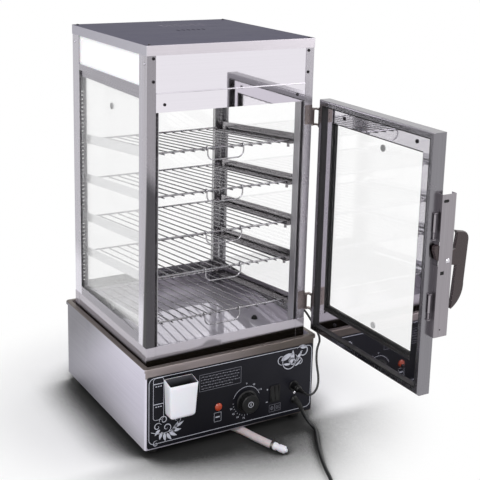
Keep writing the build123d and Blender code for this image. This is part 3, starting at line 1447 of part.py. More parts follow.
def hinge_ear(low):
    """One arm of the door's hinge bracket: round the pin, past the post's corner, to the door."""
    boss = rod((PIVOT_X, PIVOT_Y, low), (PIVOT_X, PIVOT_Y, low + EAR_THICK), 3.6)
    arm_x = PIVOT_X + 12
    across = slab((PIVOT_X, arm_x), (PIVOT_Y - 3.2, PIVOT_Y + 3.2), (low, low + EAR_THICK))
    across = fillet(across.edges().filter_by(Axis.Z).sort_by(Axis.X)[-2:], 2.5)
    down = slab((arm_x - 5.5, arm_x), (DOOR_HINGE_Y + 0.6, PIVOT_Y), (low, low + EAR_THICK))
    hole = rod((PIVOT_X, PIVOT_Y, low - 1), (PIVOT_X, PIVOT_Y, low + EAR_THICK + 1), HINGE_PIN_RADIUS)
    return boss + across + down - hole


def hinge_arms():
    """Door side of each hinge: plate on the door's edge, two ears and the pin."""
    pieces = []
    for knuckle in KNUCKLE_BOTTOMS:
        low = knuckle - EAR_GAP - EAR_THICK
        high = knuckle + KNUCKLE_HEIGHT + EAR_GAP
        top = high + EAR_THICK
        plate_y = (DOOR_HINGE_Y, DOOR_HINGE_Y + 1.2)
        plate = slab((DOOR_INNER_X + 0.5, DOOR_OUTER_X - 3), plate_y, (low - 3, top + 3))
        pieces.append(plate + hinge_ear(low) + hinge_ear(high))
        pieces.append(rod((PIVOT_X, PIVOT_Y, low - 1), (PIVOT_X, PIVOT_Y, top + 1), HINGE_PIN_RADIUS))
    return group(pieces)


def latch_channel():
    """U-section cover on the door's free edge, open at the top, with its slots and holes."""
    right = CHANNEL_LEFT_X + CHANNEL_WIDTH
    top = CHANNEL_BOTTOM_Z + CHANNEL_HEIGHT
    web_y = DOOR_FREE_Y - CHANNEL_DEPTH
    outer = slab((CHANNEL_LEFT_X, right), (web_y, DOOR_FREE_Y), (CHANNEL_BOTTOM_Z, top))
    outer = fillet(outer.faces().sort_by(Axis.Y)[0].edges().filter_by(Axis.Z), 1.5)
    inside_x = (CHANNEL_LEFT_X + CHANNEL_SHEET, right - CHANNEL_SHEET)
    channel = outer - slab(inside_x, (web_y + CHANNEL_SHEET, DOOR_FREE_Y + 1), (CHANNEL_BOTTOM_Z + CHANNEL_SHEET, top + 1))
    neck_slot = slab((right - 5, right + 5), (lever_y()[0] - 0.6, DOOR_FREE_Y + 1), (LATCH_Z - 17, LATCH_Z + 24))
    cam_slot = slab((CHANNEL_LEFT_X - 5, CHANNEL_LEFT_X + 5), (lever_y()[0] - 0.6, DOOR_FREE_Y + 1), (LATCH_Z - 8, LATCH_Z + 40))
    channel -= neck_slot
    channel -= cam_slot
    through = Rot(90, 0, 0)
    channel -= Pos(LATCH_X, web_y, LATCH_Z) * through * Cylinder(LATCH_PIN_RADIUS, 8)
    oval = extrude(SlotOverall(13, 6), 8, both=True)
    channel -= Pos(CHANNEL_LEFT_X + 9, web_y, top - 13) * through * oval
    channel -= Pos(CHANNEL_LEFT_X + 10, web_y, CHANNEL_BOTTOM_Z + 131) * Box(9, 8, 7)
    return channel - Pos(CHANNEL_LEFT_X + 14, web_y, CHANNEL_BOTTOM_Z + 15) * through * Cylinder(1.6, 8)


def lever_y():
    """Front and back of the lever, inside the channel."""
    front = DOOR_FREE_Y - CHANNEL_DEPTH + CHANNEL_SHEET + 0.8
    return front, front + LEVER_THICK


def latch_pivot():
    """Domed rivet that the lever turns on, with its clip behind the lever."""
    front = DOOR_FREE_Y - CHANNEL_DEPTH
    depth = lever_y()[1] - front
    profile = [
        (-3.0, 0),
        (-2.2, 3.2),
        (0, 5.2),
        (0, LATCH_PIN_RADIUS),
        (depth + 0.3, LATCH_PIN_RADIUS),
        (depth + 0.3, LATCH_PIN_RADIUS + 1.5),
        (depth + 1.3, LATCH_PIN_RADIUS + 1.5),
        (depth + 1.3, 0),
    ]
    return turned((LATCH_X, front, LATCH_Z), (LATCH_X, front + 1, LATCH_Z), profile)


def latch_lever():
    """Moulded lever: hub on the rivet, cam towards the cabinet, neck and the curved grip."""
    low_y, high_y = lever_y()
    plane = Plane(origin=(LATCH_X, high_y, LATCH_Z), x_dir=(1, 0, 0), z_dir=(0, -1, 0))
    # The grip's outline, from the hook at its top down the outside to the tip and back up
    outer = [
        Line((17.5, 58), (35, 54.5)),
        ThreePointArc((35, 54.5), (47.5, 47.5), (51, 34)),
        Line((51, 34), (46, -50)),
        ThreePointArc((46, -50), (33, -90), (18.5, -102)),
        ThreePointArc((18.5, -102), (16.5, -98), (18, -94)),
        Line((18, -94), (24.5, -12)),
        Line((24.5, -12), (8, -10)),
        Line((8, -10), (8, 16)),
        Line((8, 16), (18, 22)),
        Line((18, 22), (21.5, 50)),
        Line((21.5, 50), (17.5, 58)),
    ]
    grip = extrude(make_face(Wire([edge.edge() for edge in outer])), LEVER_THICK)
    hub = extrude(Circle(LEVER_HUB_RADIUS), LEVER_THICK)
    bridge = extrude(Pos(5, 3) * Rectangle(14, 24), LEVER_THICK)
    cam_outline = Polyline((-3, 12), (-24, 34), (-33, 32), (-34, 24), (-26, 4), (-6, -5), close=True)
    cam = extrude(make_face(cam_outline), LEVER_THICK)
    lever = plane * (grip + hub + bridge + cam)
    grip_edges = lever.edges().filter_by(lambda edge: edge.center().X > LATCH_X + 33 and edge.length > 10)
    lever = fillet(grip_edges.filter_by(lambda edge: abs(edge.center().Y - (low_y + high_y) / 2) > 3), 2.5)
    bore = rod((LATCH_X, low_y - 1, LATCH_Z), (LATCH_X, high_y + 1, LATCH_Z), LATCH_PIN_RADIUS + HINGE_PLAY)
    return lever - bore


def latch_rods():
    """Two sprung rods on the door's edge beside the channel, each in its clip."""
    pieces = []
    x = DOOR_INNER_X + 10
    y = DOOR_FREE_Y - 3.2
    for low in (CHANNEL_BOTTOM_Z + 211, CHANNEL_BOTTOM_Z + 49):
        profile = [(0, 0), (0, 1.4), (1.4, 2.6), (36.6, 2.6), (38, 1.4), (38, 0)]
        pieces.append(turned((x, y, low), (x, y, low + 1), profile))
        for z in (low - 14, low + 38.3):
            eye = slab((x - 3.2, x + 3.2), (y - 3, DOOR_FREE_Y), (z, z + 1.6))
            stem = rod((x, y, min(z, low - 0.3)), (x, y, min(z, low - 0.3) + 0.1), 1.0)
            pieces.append(eye + stem)
        pieces.append(rod((x, y, low - 12.2), (x, y, low - 0.2), 1.4))
    return group(pieces)


PARTS = {
    "feet": base_feet,
    "base_shell": base_shell,
    "base_bottom": base_bottom,
    "control_panel": control_panel,
    "fill_cup": fill_cup,
    "pilot_lamp": pilot_lamp,
    "thermostat_body": thermostat_body,
    "thermostat_knob": thermostat_knob,
    "switch_housing": switch_housing,
    "lamp_outlet": lamp_outlet,
    "lamp_plug": lamp_plug,
    "lamp_cord": lamp_cord,
    "cord_glands": cord_glands,
    "mains_cord": mains_cord,
    "mains_coil": mains_coil,
    "mains_plug": mains_plug,
    "water_tank": water_tank,
    "heating_element": heating_element,
    "drain_elbow": drain_elbow,
    "drain_hose": drain_hose,
    "hose_clamp": hose_clamp,
    "hose_plug": hose_plug,
    "floor_tray": floor_tray,
    "tray_plug": tray_plug,
    "corner_posts": corner_posts,
    "header_front": header_front,
    "glazing_bars": glazing_bars,
    "light_box_panes": light_box_panes,
    "ceiling_lamp": ceiling_lamp,
    "lid": lid,
    "frame_screws": frame_screws,
    "bright_screws": bright_screws,
    "cabinet_glass": cabinet_glass,
    "glass_spacers": glass_spacers,
    "slot_strips": slot_strips,
    "rack_rails": rack_rails,
    "door_frame": door_frame,
    "door_bands": door_bands,
    "door_seals": door_seals,
    "door_glass": door_glass,
    "door_spacers": door_spacers,
    "door_screws": door_screws,
    "hinge_leaves": hinge_leaves,
    "hinge_arms": hinge_arms,
    "latch_channel": latch_channel,
    "latch_lever": latch_lever,
    "latch_pivot": latch_pivot,
    "latch_rods": latch_rods,
}


def build():
    """Write every sub-part to its own file."""
    os.makedirs("parts", exist_ok=True)
    shapes = {name: make() for name, make in PARTS.items()}
    for side, x in zip(("left", "right"), rocker_places()):
        shapes["rocker_" + side] = rocker(x)
    for number, slot in enumerate(RAIL_SLOTS, start=1):
        shapes[f"rack_{number}"] = wire_rack(slot)
        shapes[f"rack_handle_{number}"] = bail_handle(slot)
    for name, shape in shapes.items():
        export_step(shape, f"parts/{name}.step")
    print(len(shapes), "parts; slope in degrees", round(degrees(SLOPE), 3))
    for number, slot in enumerate(RAIL_SLOTS, start=1):
        print("front wire", number, front_wire_centre(slot))


if __name__ == "__main__":
    build()
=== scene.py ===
import logging
import math
from dataclasses import dataclass
from enum import Enum
from typing import Callable, Iterable, Sequence

import bmesh
import bpy
from mathutils import Matrix, Vector


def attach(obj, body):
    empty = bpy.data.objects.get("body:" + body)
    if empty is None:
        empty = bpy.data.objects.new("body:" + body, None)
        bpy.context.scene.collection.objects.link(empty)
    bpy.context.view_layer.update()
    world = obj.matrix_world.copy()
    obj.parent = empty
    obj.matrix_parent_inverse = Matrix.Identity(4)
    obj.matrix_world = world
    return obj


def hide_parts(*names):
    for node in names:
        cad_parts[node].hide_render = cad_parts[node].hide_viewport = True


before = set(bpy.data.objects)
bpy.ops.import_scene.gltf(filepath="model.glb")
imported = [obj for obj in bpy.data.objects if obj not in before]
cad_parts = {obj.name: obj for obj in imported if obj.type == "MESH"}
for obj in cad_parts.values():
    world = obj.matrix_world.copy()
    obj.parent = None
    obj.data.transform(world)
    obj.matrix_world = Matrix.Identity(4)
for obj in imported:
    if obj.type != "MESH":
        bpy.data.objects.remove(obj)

# Looks of the countertop dumpling steamer. Metres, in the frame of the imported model.

log = logging.getLogger("steamer")

Colour = tuple[float, float, float, float]
Point = tuple[float, float, float]
Flat = tuple[float, float]
Place = Callable[[float, float, float], Point]

BLACK: Colour = (0.0, 0.0, 0.0, 1.0)
WHITE: Colour = (1.0, 1.0, 1.0, 1.0)


def linear(value: int) -> float:
    """Turns one part of a colour as it shows on a screen into the linear one.

    Args:
        value: The part, from 0 to 255.

    Returns:
        The linear part, from 0 to 1.
    """
    share = value / 255
    return share / 12.92 if share <= 0.04045 else ((share + 0.055) / 1.055) ** 2.4


def srgb(red: int, green: int, blue: int) -> Colour:
    """Turns a colour as it shows on a screen into the linear one that shaders take.

    Args:
        red: Red from 0 to 255.
        green: Green from 0 to 255.
        blue: Blue from 0 to 255.

    Returns:
        Linear red, green and blue, and an alpha of 1.
    """
    return (linear(red), linear(green), linear(blue), 1.0)


def metres(points: Iterable[Sequence[float]]) -> list[Point]:
    """Turns points in millimetres into metres.

    Args:
        points: Points in millimetres.

    Returns:
        The same points in metres.
    """
    return [(p[0] / 1000, p[1] / 1000, p[2] / 1000) for p in points]


def arc(centre: Flat, radius: float, start: float, end: float, steps: int = 24) -> list[Flat]:
    """Points of an arc.

    Args:
        centre: Its centre.
        radius: Its radius.
        start: First angle in degrees.
        end: Last angle in degrees.
        steps: Number of steps.

    Returns:
        The points.
    """
    points = []
    for step in range(steps + 1):
        angle = math.radians(start + (end - start) * step / steps)
        points.append((centre[0] + radius * math.cos(angle), centre[1] + radius * math.sin(angle)))
    return points


class Body(Enum):
    """Bodies that pieces ride on."""

    CABINET = "cabinet"
    DOOR = "door"
    KNOB = "knob"


class Stretch(Enum):
    """Detail per metre along X, Y and Z of a surface's grain."""

    EVEN = (90.0, 90.0, 90.0)
    FINE = (420.0, 420.0, 420.0)
    ALONG_X = (4.0, 380.0, 380.0)
    ALONG_Y = (380.0, 4.0, 380.0)
    ALONG_Z = (380.0, 380.0, 4.0)


class Graph:
    """Adds and joins nodes in one node tree."""

    def __init__(self, tree: bpy.types.NodeTree) -> None:
        """Starts on a node tree.

        Args:
            tree: The node tree.
        """
        self.tree = tree

    def add(self, kind: str, sockets: dict | None = None, **settings: object) -> bpy.types.Node:
        """Adds one node.

        Args:
            kind: Type name of the node.
            sockets: Value or output socket for each input.
            settings: Properties of the node.

        Returns:
            The new node.
        """
        node = self.tree.nodes.new(kind)
        for name, value in settings.items():
            setattr(node, name, value)
        for key, value in (sockets or {}).items():
            if isinstance(value, bpy.types.NodeSocket):
                self.tree.links.new(value, node.inputs[key])
            else:
                node.inputs[key].default_value = value
        return node

    def math(self, operation: str, *values: object, clamp: bool = False) -> bpy.types.NodeSocket:
        """Adds a math node.

        Args:
            operation: Name of the operation.
            values: Its numbers or output sockets.
            clamp: Whether the result stays from 0 to 1.

        Returns:
            The output socket.
        """
        sockets = dict(enumerate(values))
        return self.add("ShaderNodeMath", sockets, operation=operation, use_clamp=clamp).outputs[0]

    def mix(self, factor: object, low: object, high: object) -> bpy.types.NodeSocket:
        """Mixes two colours.

        Args:
            factor: Share of the second colour.
            low: First colour.
            high: Second colour.

        Returns:
            The output socket.
        """
        sockets = {0: factor, 6: low, 7: high}
        return self.add("ShaderNodeMix", sockets, data_type="RGBA").outputs[2]

    def spread(self, value: object, low: object, high: object, smooth: bool = True) -> bpy.types.NodeSocket:
        """Maps low to 0 and high to 1.

        Args:
            value: Value or socket.
            low: What gives 0.
            high: What gives 1.
            smooth: Whether the change eases in and out.

        Returns:
            The output socket.
        """
        sockets = {"Value": value, "From Min": low, "From Max": high}
        kind = "SMOOTHSTEP" if smooth else "LINEAR"
        return self.add("ShaderNodeMapRange", sockets, interpolation_type=kind).outputs[0]

    def noise(self, where: object, scale: object, detail: float, **more: float) -> bpy.types.NodeSocket:
        """Adds a noise texture.

        Args:
            where: Vector that it reads.
            scale: Its scale.
            detail: Its number of finer layers.
            more: Its other inputs by name.

        Returns:
            The output socket.
        """
        sockets = {"Vector": where, "Scale": scale, "Detail": detail, **more}
        return self.add("ShaderNodeTexNoise", sockets).outputs[0]

    def group(self, tree: bpy.types.NodeTree, where: object, **values: object) -> bpy.types.NodeSocket:
        """Adds a shared node group.

        Args:
            tree: The group.
            where: Vector that it reads.
            values: Its other inputs by name.

        Returns:
            The output socket.
        """
        return self.add("ShaderNodeGroup", {"Vector": where, **values}, node_tree=tree).outputs[0]

    def in_picture(self) -> bpy.types.NodeSocket:
        """Tells what shows in the picture, also in a mirror or through glass.

        Returns:
            The output socket, 1 where it shows.
        """
        path = self.add("ShaderNodeLightPath")
        direct = self.math("MAXIMUM", path.outputs["Is Camera Ray"], path.outputs["Is Glossy Ray"])
        return self.math("MAXIMUM", direct, path.outputs["Is Transmission Ray"])


def blank_material(name: str) -> tuple[bpy.types.Material, Graph]:
    """Starts a material without nodes.

    Args:
        name: Its name.

    Returns:
        The material and its graph.
    """
    material = bpy.data.materials.new(name)
    material.use_nodes = True
    material.node_tree.nodes.clear()
    return material, Graph(material.node_tree)


class Effects:
    """Shader node groups that the finishes share."""

    def __init__(self) -> None:
        """Makes the groups."""
        self.grain = self._grain()
        self.smudge = self._smudge()
        self.dust = self._dust()
        self.fade = self._fade()
        self.wear = self._wear()

    @staticmethod
    def _open(name: str, inputs: dict[str, str], output: str) -> tuple[Graph, dict, bpy.types.Node]:
        """Starts a node group with named sockets.

        Args:
            name: Name of the group.
            inputs: Socket type of each input.
            output: Name of the output value.

        Returns:
            The graph, the input sockets by name and the output node.
        """
        tree = bpy.data.node_groups.new(name, "ShaderNodeTree")
        for label, kind in inputs.items():
            tree.interface.new_socket(name=label, in_out="INPUT", socket_type=kind)
        tree.interface.new_socket(name=output, in_out="OUTPUT", socket_type="NodeSocketFloat")
        graph = Graph(tree)
        entry = graph.add("NodeGroupInput")
        leave = graph.add("NodeGroupOutput")
        return graph, {label: entry.outputs[label] for label in inputs}, leave

    def _grain(self) -> bpy.types.NodeTree:
        """Noise drawn out along one direction, as rolling or moulding leaves it.

        Returns:
            The group.
        """
        kinds = {"Vector": "NodeSocketVector", "Stretch": "NodeSocketVector"}
        graph, given, leave = self._open("surface_grain", kinds, "Value")
        sockets = {0: given["Vector"], 1: given["Stretch"]}
        place = graph.add("ShaderNodeVectorMath", sockets, operation="MULTIPLY").outputs[0]
        noise = graph.noise(place, 1.0, 3.0)
        graph.tree.links.new(graph.spread(noise, 0.3, 0.7), leave.inputs[0])
        return graph.tree

    def _smudge(self) -> bpy.types.NodeTree:
        """Cloudy marks of hands and steam, dried in patches.

        Returns:
            The group.
        """
        kinds = {"Vector": "NodeSocketVector", "Scale": "NodeSocketFloat"}
        graph, given, leave = self._open("handling_smudge", kinds, "Mask")
        wide = graph.noise(given["Vector"], given["Scale"], 4.0, Distortion=0.6)
        scale = graph.math("MULTIPLY", given["Scale"], 6.0)
        small = graph.noise(given["Vector"], scale, 2.0)
        patches = graph.spread(wide, 0.42, 0.68)
        specks = graph.spread(small, 0.25, 0.75)
        mask = graph.math("MULTIPLY", patches, specks)
        graph.tree.links.new(mask, leave.inputs[0])
        return graph.tree

    def _dust(self) -> bpy.types.NodeTree:
        """Fine dust and dried drops on faces that look up.

        Returns:
            The group.
        """
        kinds = {"Vector": "NodeSocketVector", "Scale": "NodeSocketFloat"}
        graph, given, leave = self._open("settled_dust", kinds, "Mask")
        normal = graph.add("ShaderNodeNewGeometry").outputs["Normal"]
        upward = graph.add("ShaderNodeSeparateXYZ", {0: normal}).outputs[2]
        noise = graph.noise(given["Vector"], given["Scale"], 5.0)
        level = graph.spread(upward, 0.5, 1.0)
        specks = graph.spread(noise, 0.4, 0.75)
        mask = graph.math("MULTIPLY", level, specks)
        graph.tree.links.new(mask, leave.inputs[0])
        return graph.tree

    def _fade(self) -> bpy.types.NodeTree:
        """Even change from 0 to 1 along a direction, the mask of the painted light and shade.

        Returns:
            The group.
        """
        kinds = {
            "Vector": "NodeSocketVector",
            "Way": "NodeSocketVector",
            "Start": "NodeSocketFloat",
            "End": "NodeSocketFloat",
        }
        graph, given, leave = self._open("soft_fade", kinds, "Value")
        sockets = {0: given["Vector"], 1: given["Way"]}
        along = graph.add("ShaderNodeVectorMath", sockets, operation="DOT_PRODUCT").outputs["Value"]
        graph.tree.links.new(graph.spread(along, given["Start"], given["End"]), leave.inputs[0])
        return graph.tree

    def _wear(self) -> bpy.types.NodeTree:
        """Worn corners, from how pointed the surface is.

        Returns:
            The group.
        """
        kinds = {"Vector": "NodeSocketVector", "Scale": "NodeSocketFloat"}
        graph, given, leave = self._open("worn_rim", kinds, "Mask")
        pointed = graph.add("ShaderNodeNewGeometry").outputs["Pointiness"]
        noise = graph.noise(given["Vector"], given["Scale"], 3.0)
        corners = graph.spread(pointed, 0.52, 0.6)
        uneven = graph.spread(noise, 0.35, 0.65)
        mask = graph.math("MULTIPLY", corners, uneven)
        graph.tree.links.new(mask, leave.inputs[0])
        return graph.tree


@dataclass(frozen=True)
class Fade:
    """Painted light and shade: a change of colour along a direction.

    Attributes:
        way: Direction of the change.
        start: Distance along it where the change starts.
        end: Distance along it where the change ends.
        colour: Colour at the end.
        facing: Limit to faces whose normal points this way, or None.
    """

    way: Point
    start: float
    end: float
    colour: Colour
    facing: Point | None = None


@dataclass(frozen=True)
class Finish:
    """Opaque finish with grain, smudges, dust, worn rims and painted light and shade.

    Attributes:
        name: Name of its material.
        colour: Its plain colour.
        metallic: 1 for bare metal.
        roughness: Its roughness where it is clean.
        stretch: Direction of its grain.
        grain: How much the grain darkens it.
        bump: Height of the grain in metres.
        smudge: How much rougher the smudges are.
        smudge_scale: How fine the smudges are.
        dust: How much dust lies on it.
        dust_colour: Colour of the dust.
        wear: How worn its corners are.
        wear_colour: Colour of the worn corners.
        coat: Weight of a clear coat.
        specular: How strongly it shines.
        rim: Colour of a painted dark reflection where it turns away, or None.
        painted_rim_blend: How wide that painted reflection is.
        painted_shading: Painted light and shade, changes of colour laid over the plain one.
        glow: Light that it gives.
        softness: How much light goes through its skin.
        edge: Tint of its shine at a low angle.
        rough_grain: How much rougher the grain is.
        bump_strength: Share of the grain's height that shows.
        dust_scale: How fine the dust is.
        wear_scale: How fine the worn patches are.
        coat_roughness: Roughness of the clear coat.
        skin: How deep light goes into its skin, in metres.
    """

    name: str
    colour: Colour
    metallic: float = 0.0
    roughness: float = 0.4
    stretch: Stretch = Stretch.EVEN
    grain: float = 0.15
    bump: float = 0.00002
    smudge: float = 0.12
    smudge_scale: float = 9.0
    dust: float = 0.05
    dust_colour: Colour = (0.55, 0.53, 0.5, 1.0)
    wear: float = 0.0
    wear_colour: Colour = (0.6, 0.6, 0.6, 1.0)
    coat: float = 0.0
    specular: float = 0.5
    rim: Colour | None = None
    painted_rim_blend: float = 0.5
    painted_shading: tuple[Fade, ...] = ()
    glow: float = 0.0
    softness: float = 0.0
    edge: Colour = WHITE
    rough_grain: float = 0.06
    bump_strength: float = 0.6
    dust_scale: float = 35.0
    wear_scale: float = 60.0
    coat_roughness: float = 0.08
    skin: float = 0.004

    def build(self, effects: Effects) -> bpy.types.Material:
        """Makes the material.

        Args:
            effects: The shared node groups.

        Returns:
            The material.
        """
        material, graph = blank_material(self.name)
        where = graph.add("ShaderNodeTexCoord").outputs["Object"]
        grain = graph.group(effects.grain, where, Stretch=self.stretch.value)
        smudge = graph.group(effects.smudge, where, Scale=self.smudge_scale)
        # Plain colour with its painted light and shade laid over it.
        colour = self._with_painted_shading(graph, effects, where)
        darker = graph.mix(graph.math("MULTIPLY", grain, self.grain), colour, BLACK)
        # Painted reflection: where the surface turns away, its colour goes to the dark rim colour.
        if self.rim is not None:
            facing = graph.add("ShaderNodeLayerWeight", {"Blend": self.painted_rim_blend}).outputs["Facing"]
            darker = graph.mix(graph.spread(facing, 0.25, 0.95), darker, self.rim)
        if self.wear > 0:
            worn = graph.group(effects.wear, where, Scale=self.wear_scale)
            darker = graph.mix(graph.math("MULTIPLY", worn, self.wear), darker, self.wear_colour)
        if self.dust > 0:
            dust = graph.group(effects.dust, where, Scale=self.dust_scale)
            darker = graph.mix(graph.math("MULTIPLY", dust, self.dust), darker, self.dust_colour)
        rough = graph.math("MULTIPLY_ADD", smudge, self.smudge, self.roughness)
        rough = graph.math("MULTIPLY_ADD", grain, self.rough_grain, rough, clamp=True)
        relief = {"Height": grain, "Distance": self.bump, "Strength": self.bump_strength}
        bump = graph.add("ShaderNodeBump", relief)
        sockets = {
            "Base Color": darker,
            "Metallic": self.metallic,
            "Roughness": rough,
            "Normal": bump.outputs[0],
            "Coat Weight": self.coat,
            "Coat Roughness": self.coat_roughness,
            "Specular IOR Level": self.specular,
            "Specular Tint": self.edge,
        }
        if self.glow > 0:
            sockets["Emission Color"] = colour
            sockets["Emission Strength"] = self.glow
        if self.softness > 0:
            sockets["Subsurface Weight"] = self.softness
            sockets["Subsurface Scale"] = self.skin
        shader = graph.add("ShaderNodeBsdfPrincipled", sockets)
        graph.add("ShaderNodeOutputMaterial", {"Surface": shader.outputs[0]})
        return material

    def _with_painted_shading(self, graph: Graph, effects: Effects, where: bpy.types.NodeSocket) -> object:
        """Lays the painted light and shade over the plain colour.

        Args:
            graph: The material's graph.
            effects: The shared node groups.
            where: Object coordinates.

        Returns:
            A colour or its socket.
        """
        colour: object = graph.mix(0.0, self.colour, self.colour)
        for fade in self.painted_shading:
            factor = graph.group(effects.fade, where, Way=fade.way, Start=fade.start, End=fade.end)
            if fade.facing is not None:
                normal = graph.add("ShaderNodeNewGeometry").outputs["Normal"]
                sockets = {0: normal, 1: fade.facing}
                dot = graph.add("ShaderNodeVectorMath", sockets, operation="DOT_PRODUCT")
                turned = dot.outputs["Value"]
                factor = graph.math("MULTIPLY", factor, graph.spread(turned, 0.4, 0.8))
            colour = graph.mix(factor, colour, fade.colour)
        return colour


@dataclass(frozen=True)
class Glass:
    """See-through finish whose shadow is light.

    Attributes:
        name: Name of its material.
        colour: Its colour.
        transmission: How clear it is.
        roughness: Its roughness where it is clean.
        refraction: Its index of refraction.
        smudge: How much rougher the smudges are.
        smudge_scale: How fine the smudges are.
        shade: Colour of its shadow.
    """

    name: str
    colour: Colour
    transmission: float = 1.0
    roughness: float = 0.0
    refraction: float = 1.3
    smudge: float = 0.012
    smudge_scale: float = 5.0
    shade: Colour = (0.985, 0.985, 0.985, 1.0)

    def build(self, effects: Effects) -> bpy.types.Material:
        """Makes the material.

        Args:
            effects: The shared node groups.

        Returns:
            The material.
        """
        material, graph = blank_material(self.name)
        where = graph.add("ShaderNodeTexCoord").outputs["Object"]
        smudge = graph.group(effects.smudge, where, Scale=self.smudge_scale)
        sockets = {
            "Base Color": self.colour,
            "Transmission Weight": self.transmission,
            "Roughness": graph.math("MULTIPLY_ADD", smudge, self.smudge, self.roughness),
            "IOR": self.refraction,
        }
        shader = graph.add("ShaderNodeBsdfPrincipled", sockets)
        clear = graph.add("ShaderNodeBsdfTransparent", {"Color": self.shade})
        path = graph.add("ShaderNodeLightPath")
        light = graph.math("MAXIMUM", path.outputs["Is Shadow Ray"], path.outputs["Is Diffuse Ray"])
        both = graph.add("ShaderNodeMixShader", {0: light, 1: shader.outputs[0], 2: clear.outputs[0]})
        graph.add("ShaderNodeOutputMaterial", {"Surface": both.outputs[0]})
        return material


class Store:
    """Builds each finish once and hands it out."""

    def __init__(self) -> None:
        """Starts without a finish."""
        self.effects = Effects()
        self.made: dict[str, bpy.types.Material] = {}

    def get(self, finish: Finish | Glass) -> bpy.types.Material:
        """Gives a finish's material.

        Args:
            finish: The finish.

        Returns:
            Its material.
        """
        if finish.name not in self.made:
            self.made[finish.name] = finish.build(self.effects)
        return self.made[finish.name]

    def dress(self, finish: Finish | Glass, *nodes: str) -> list[str]:
        """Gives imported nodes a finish.

        Args:
            finish: The finish.
            nodes: Names of the nodes.

        Returns:
            The same names.
        """
        material = self.get(finish)
        for name in nodes:
            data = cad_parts[name].data
            data.materials.clear()
            data.materials.append(material)
        return list(nodes)


@dataclass
class Assembly:
    """Sub-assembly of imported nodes.

    Attributes:
        coats: Each finish with the nodes that wear it.
    """

    coats: tuple[tuple[Finish | Glass, tuple[str, ...]], ...] = ()

    def dress(self, store: Store) -> list[str]:
        """Gives the nodes their finishes.

        Args:
            store: The finishes.

        Returns:
            Names of the dressed nodes.
        """
        return [name for finish, nodes in self.coats for name in store.dress(finish, *nodes)]


class MeshKit:
    """Collects the faces of one piece."""

    def __init__(self) -> None:
        """Starts without a face."""
        self.points: list[Point] = []
        self.faces: list[tuple[int, ...]] = []

    def block(self, outline: Sequence[Flat], low: float, high: float, place: Place) -> None:
        """Adds a closed plate.

        Args:
            outline: Corners of the plate, without crossings.
            low: Depth of its back.
            high: Depth of its front.
            place: Gives the point in space for across, up and depth.
        """
        first = len(self.points)
        count = len(outline)
        for depth in (low, high):
            self.points += [place(across, up, depth) for across, up in outline]
        self.faces.append(tuple(range(first, first + count)))
        self.faces.append(tuple(range(first + 2 * count - 1, first + count - 1, -1)))
        for index in range(count):
            after = (index + 1) % count
            self.faces.append((first + index, first + count + index, first + count + after, first + after))

    def ribbon(
        self,
        route: Sequence[Flat],
        widths: Sequence[float],
        low: float,
        high: float,
        place: Place,
        closed: bool = False,
    ) -> None:
        """Adds a flat strip along a route.

        Args:
            route: Middle of the strip.
            widths: Its half width at each point.
            low: Depth of its back.
            high: Depth of its front.
            place: Gives the point in space for across, up and depth.
            closed: Whether the strip joins its own start.
        """
        first = len(self.points)
        count = len(route)
        for index, (across, up) in enumerate(route):
            before = route[index - 1] if index or closed else route[0]
            after = route[(index + 1) % count] if index < count - 1 or closed else route[-1]
            way = Vector((after[0] - before[0], after[1] - before[1]))
            way = way.normalized() if way.length > 0 else Vector((1.0, 0.0))
            side = Vector((-way.y, way.x)) * widths[index]
            for depth in (low, high):
                self.points.append(place(across + side.x, up + side.y, depth))
                self.points.append(place(across - side.x, up - side.y, depth))
        last = count if closed else count - 1
        for index in range(last):
            here = first + 4 * index
            there = first + 4 * ((index + 1) % count)
            self.faces += [
                (here, here + 1, there + 1, there),
                (here + 3, here + 2, there + 2, there + 3),
                (here + 2, here, there, there + 2),
                (here + 1, here + 3, there + 3, there + 1),
            ]
        if not closed:
            end = first + 4 * (count - 1)
            self.faces += [(first, first + 2, first + 3, first + 1), (end + 1, end + 3, end + 2, end)]

    def tube(self, route: Sequence[Point], radii: Sequence[float], sides: int = 20) -> None:
        """Adds a closed round tube with a changing radius.

        Args:
            route: Middle of the tube.
            radii: Its radius at each point.
            sides: Faces around it.
        """
        first = len(self.points)
        count = len(route)
        across = None
        for index, middle in enumerate(route):
            before = Vector(route[max(index - 1, 0)])
            after = Vector(route[min(index + 1, count - 1)])
            way = (after - before).normalized()
            if across is None:
                across = way.orthogonal().normalized()
            across = (across - way * across.dot(way)).normalized()
            other = way.cross(across)
            for step in range(sides):
                angle = 2 * math.pi * step / sides
                reach = across * math.cos(angle) + other * math.sin(angle)
                self.points.append(tuple(Vector(middle) + reach * radii[index]))
        for index in range(count - 1):
            for step in range(sides):
                here = first + index * sides + step
                beside = first + index * sides + (step + 1) % sides
                self.faces.append((here, beside, beside + sides, here + sides))
        self.faces.append(tuple(range(first + sides - 1, first - 1, -1)))
        end = first + (count - 1) * sides
        self.faces.append(tuple(range(end, end + sides)))

    def build(self, name: str, material: bpy.types.Material, smooth: bool = False) -> bpy.types.Object:
        """Makes the piece.

        Args:
            name: Name of the piece.
            material: Its material.
            smooth: Whether its faces are shaded round.

        Returns:
            The new object.
        """
        mesh = bpy.data.meshes.new(name)
        mesh.from_pydata(self.points, [], self.faces)
        loose = bmesh.new()
        loose.from_mesh(mesh)
        bmesh.ops.recalc_face_normals(loose, faces=loose.faces)
        loose.to_mesh(mesh)
        loose.free()
        mesh.materials.append(material)
        for face in mesh.polygons:
            face.use_smooth = smooth
        return bpy.data.objects.new(name, mesh)


def show(piece: bpy.types.Object, body: Body, slot: str) -> list[str]:
    """Puts a piece into the scene, on its body.

    Args:
        piece: The piece.
        body: Body that it rides on.
        slot: Name of a material slot; not used.

    Returns:
        Its name, in a list.
    """
    bpy.context.scene.collection.objects.link(piece)
    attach(piece, body.value)
    return [piece.name]


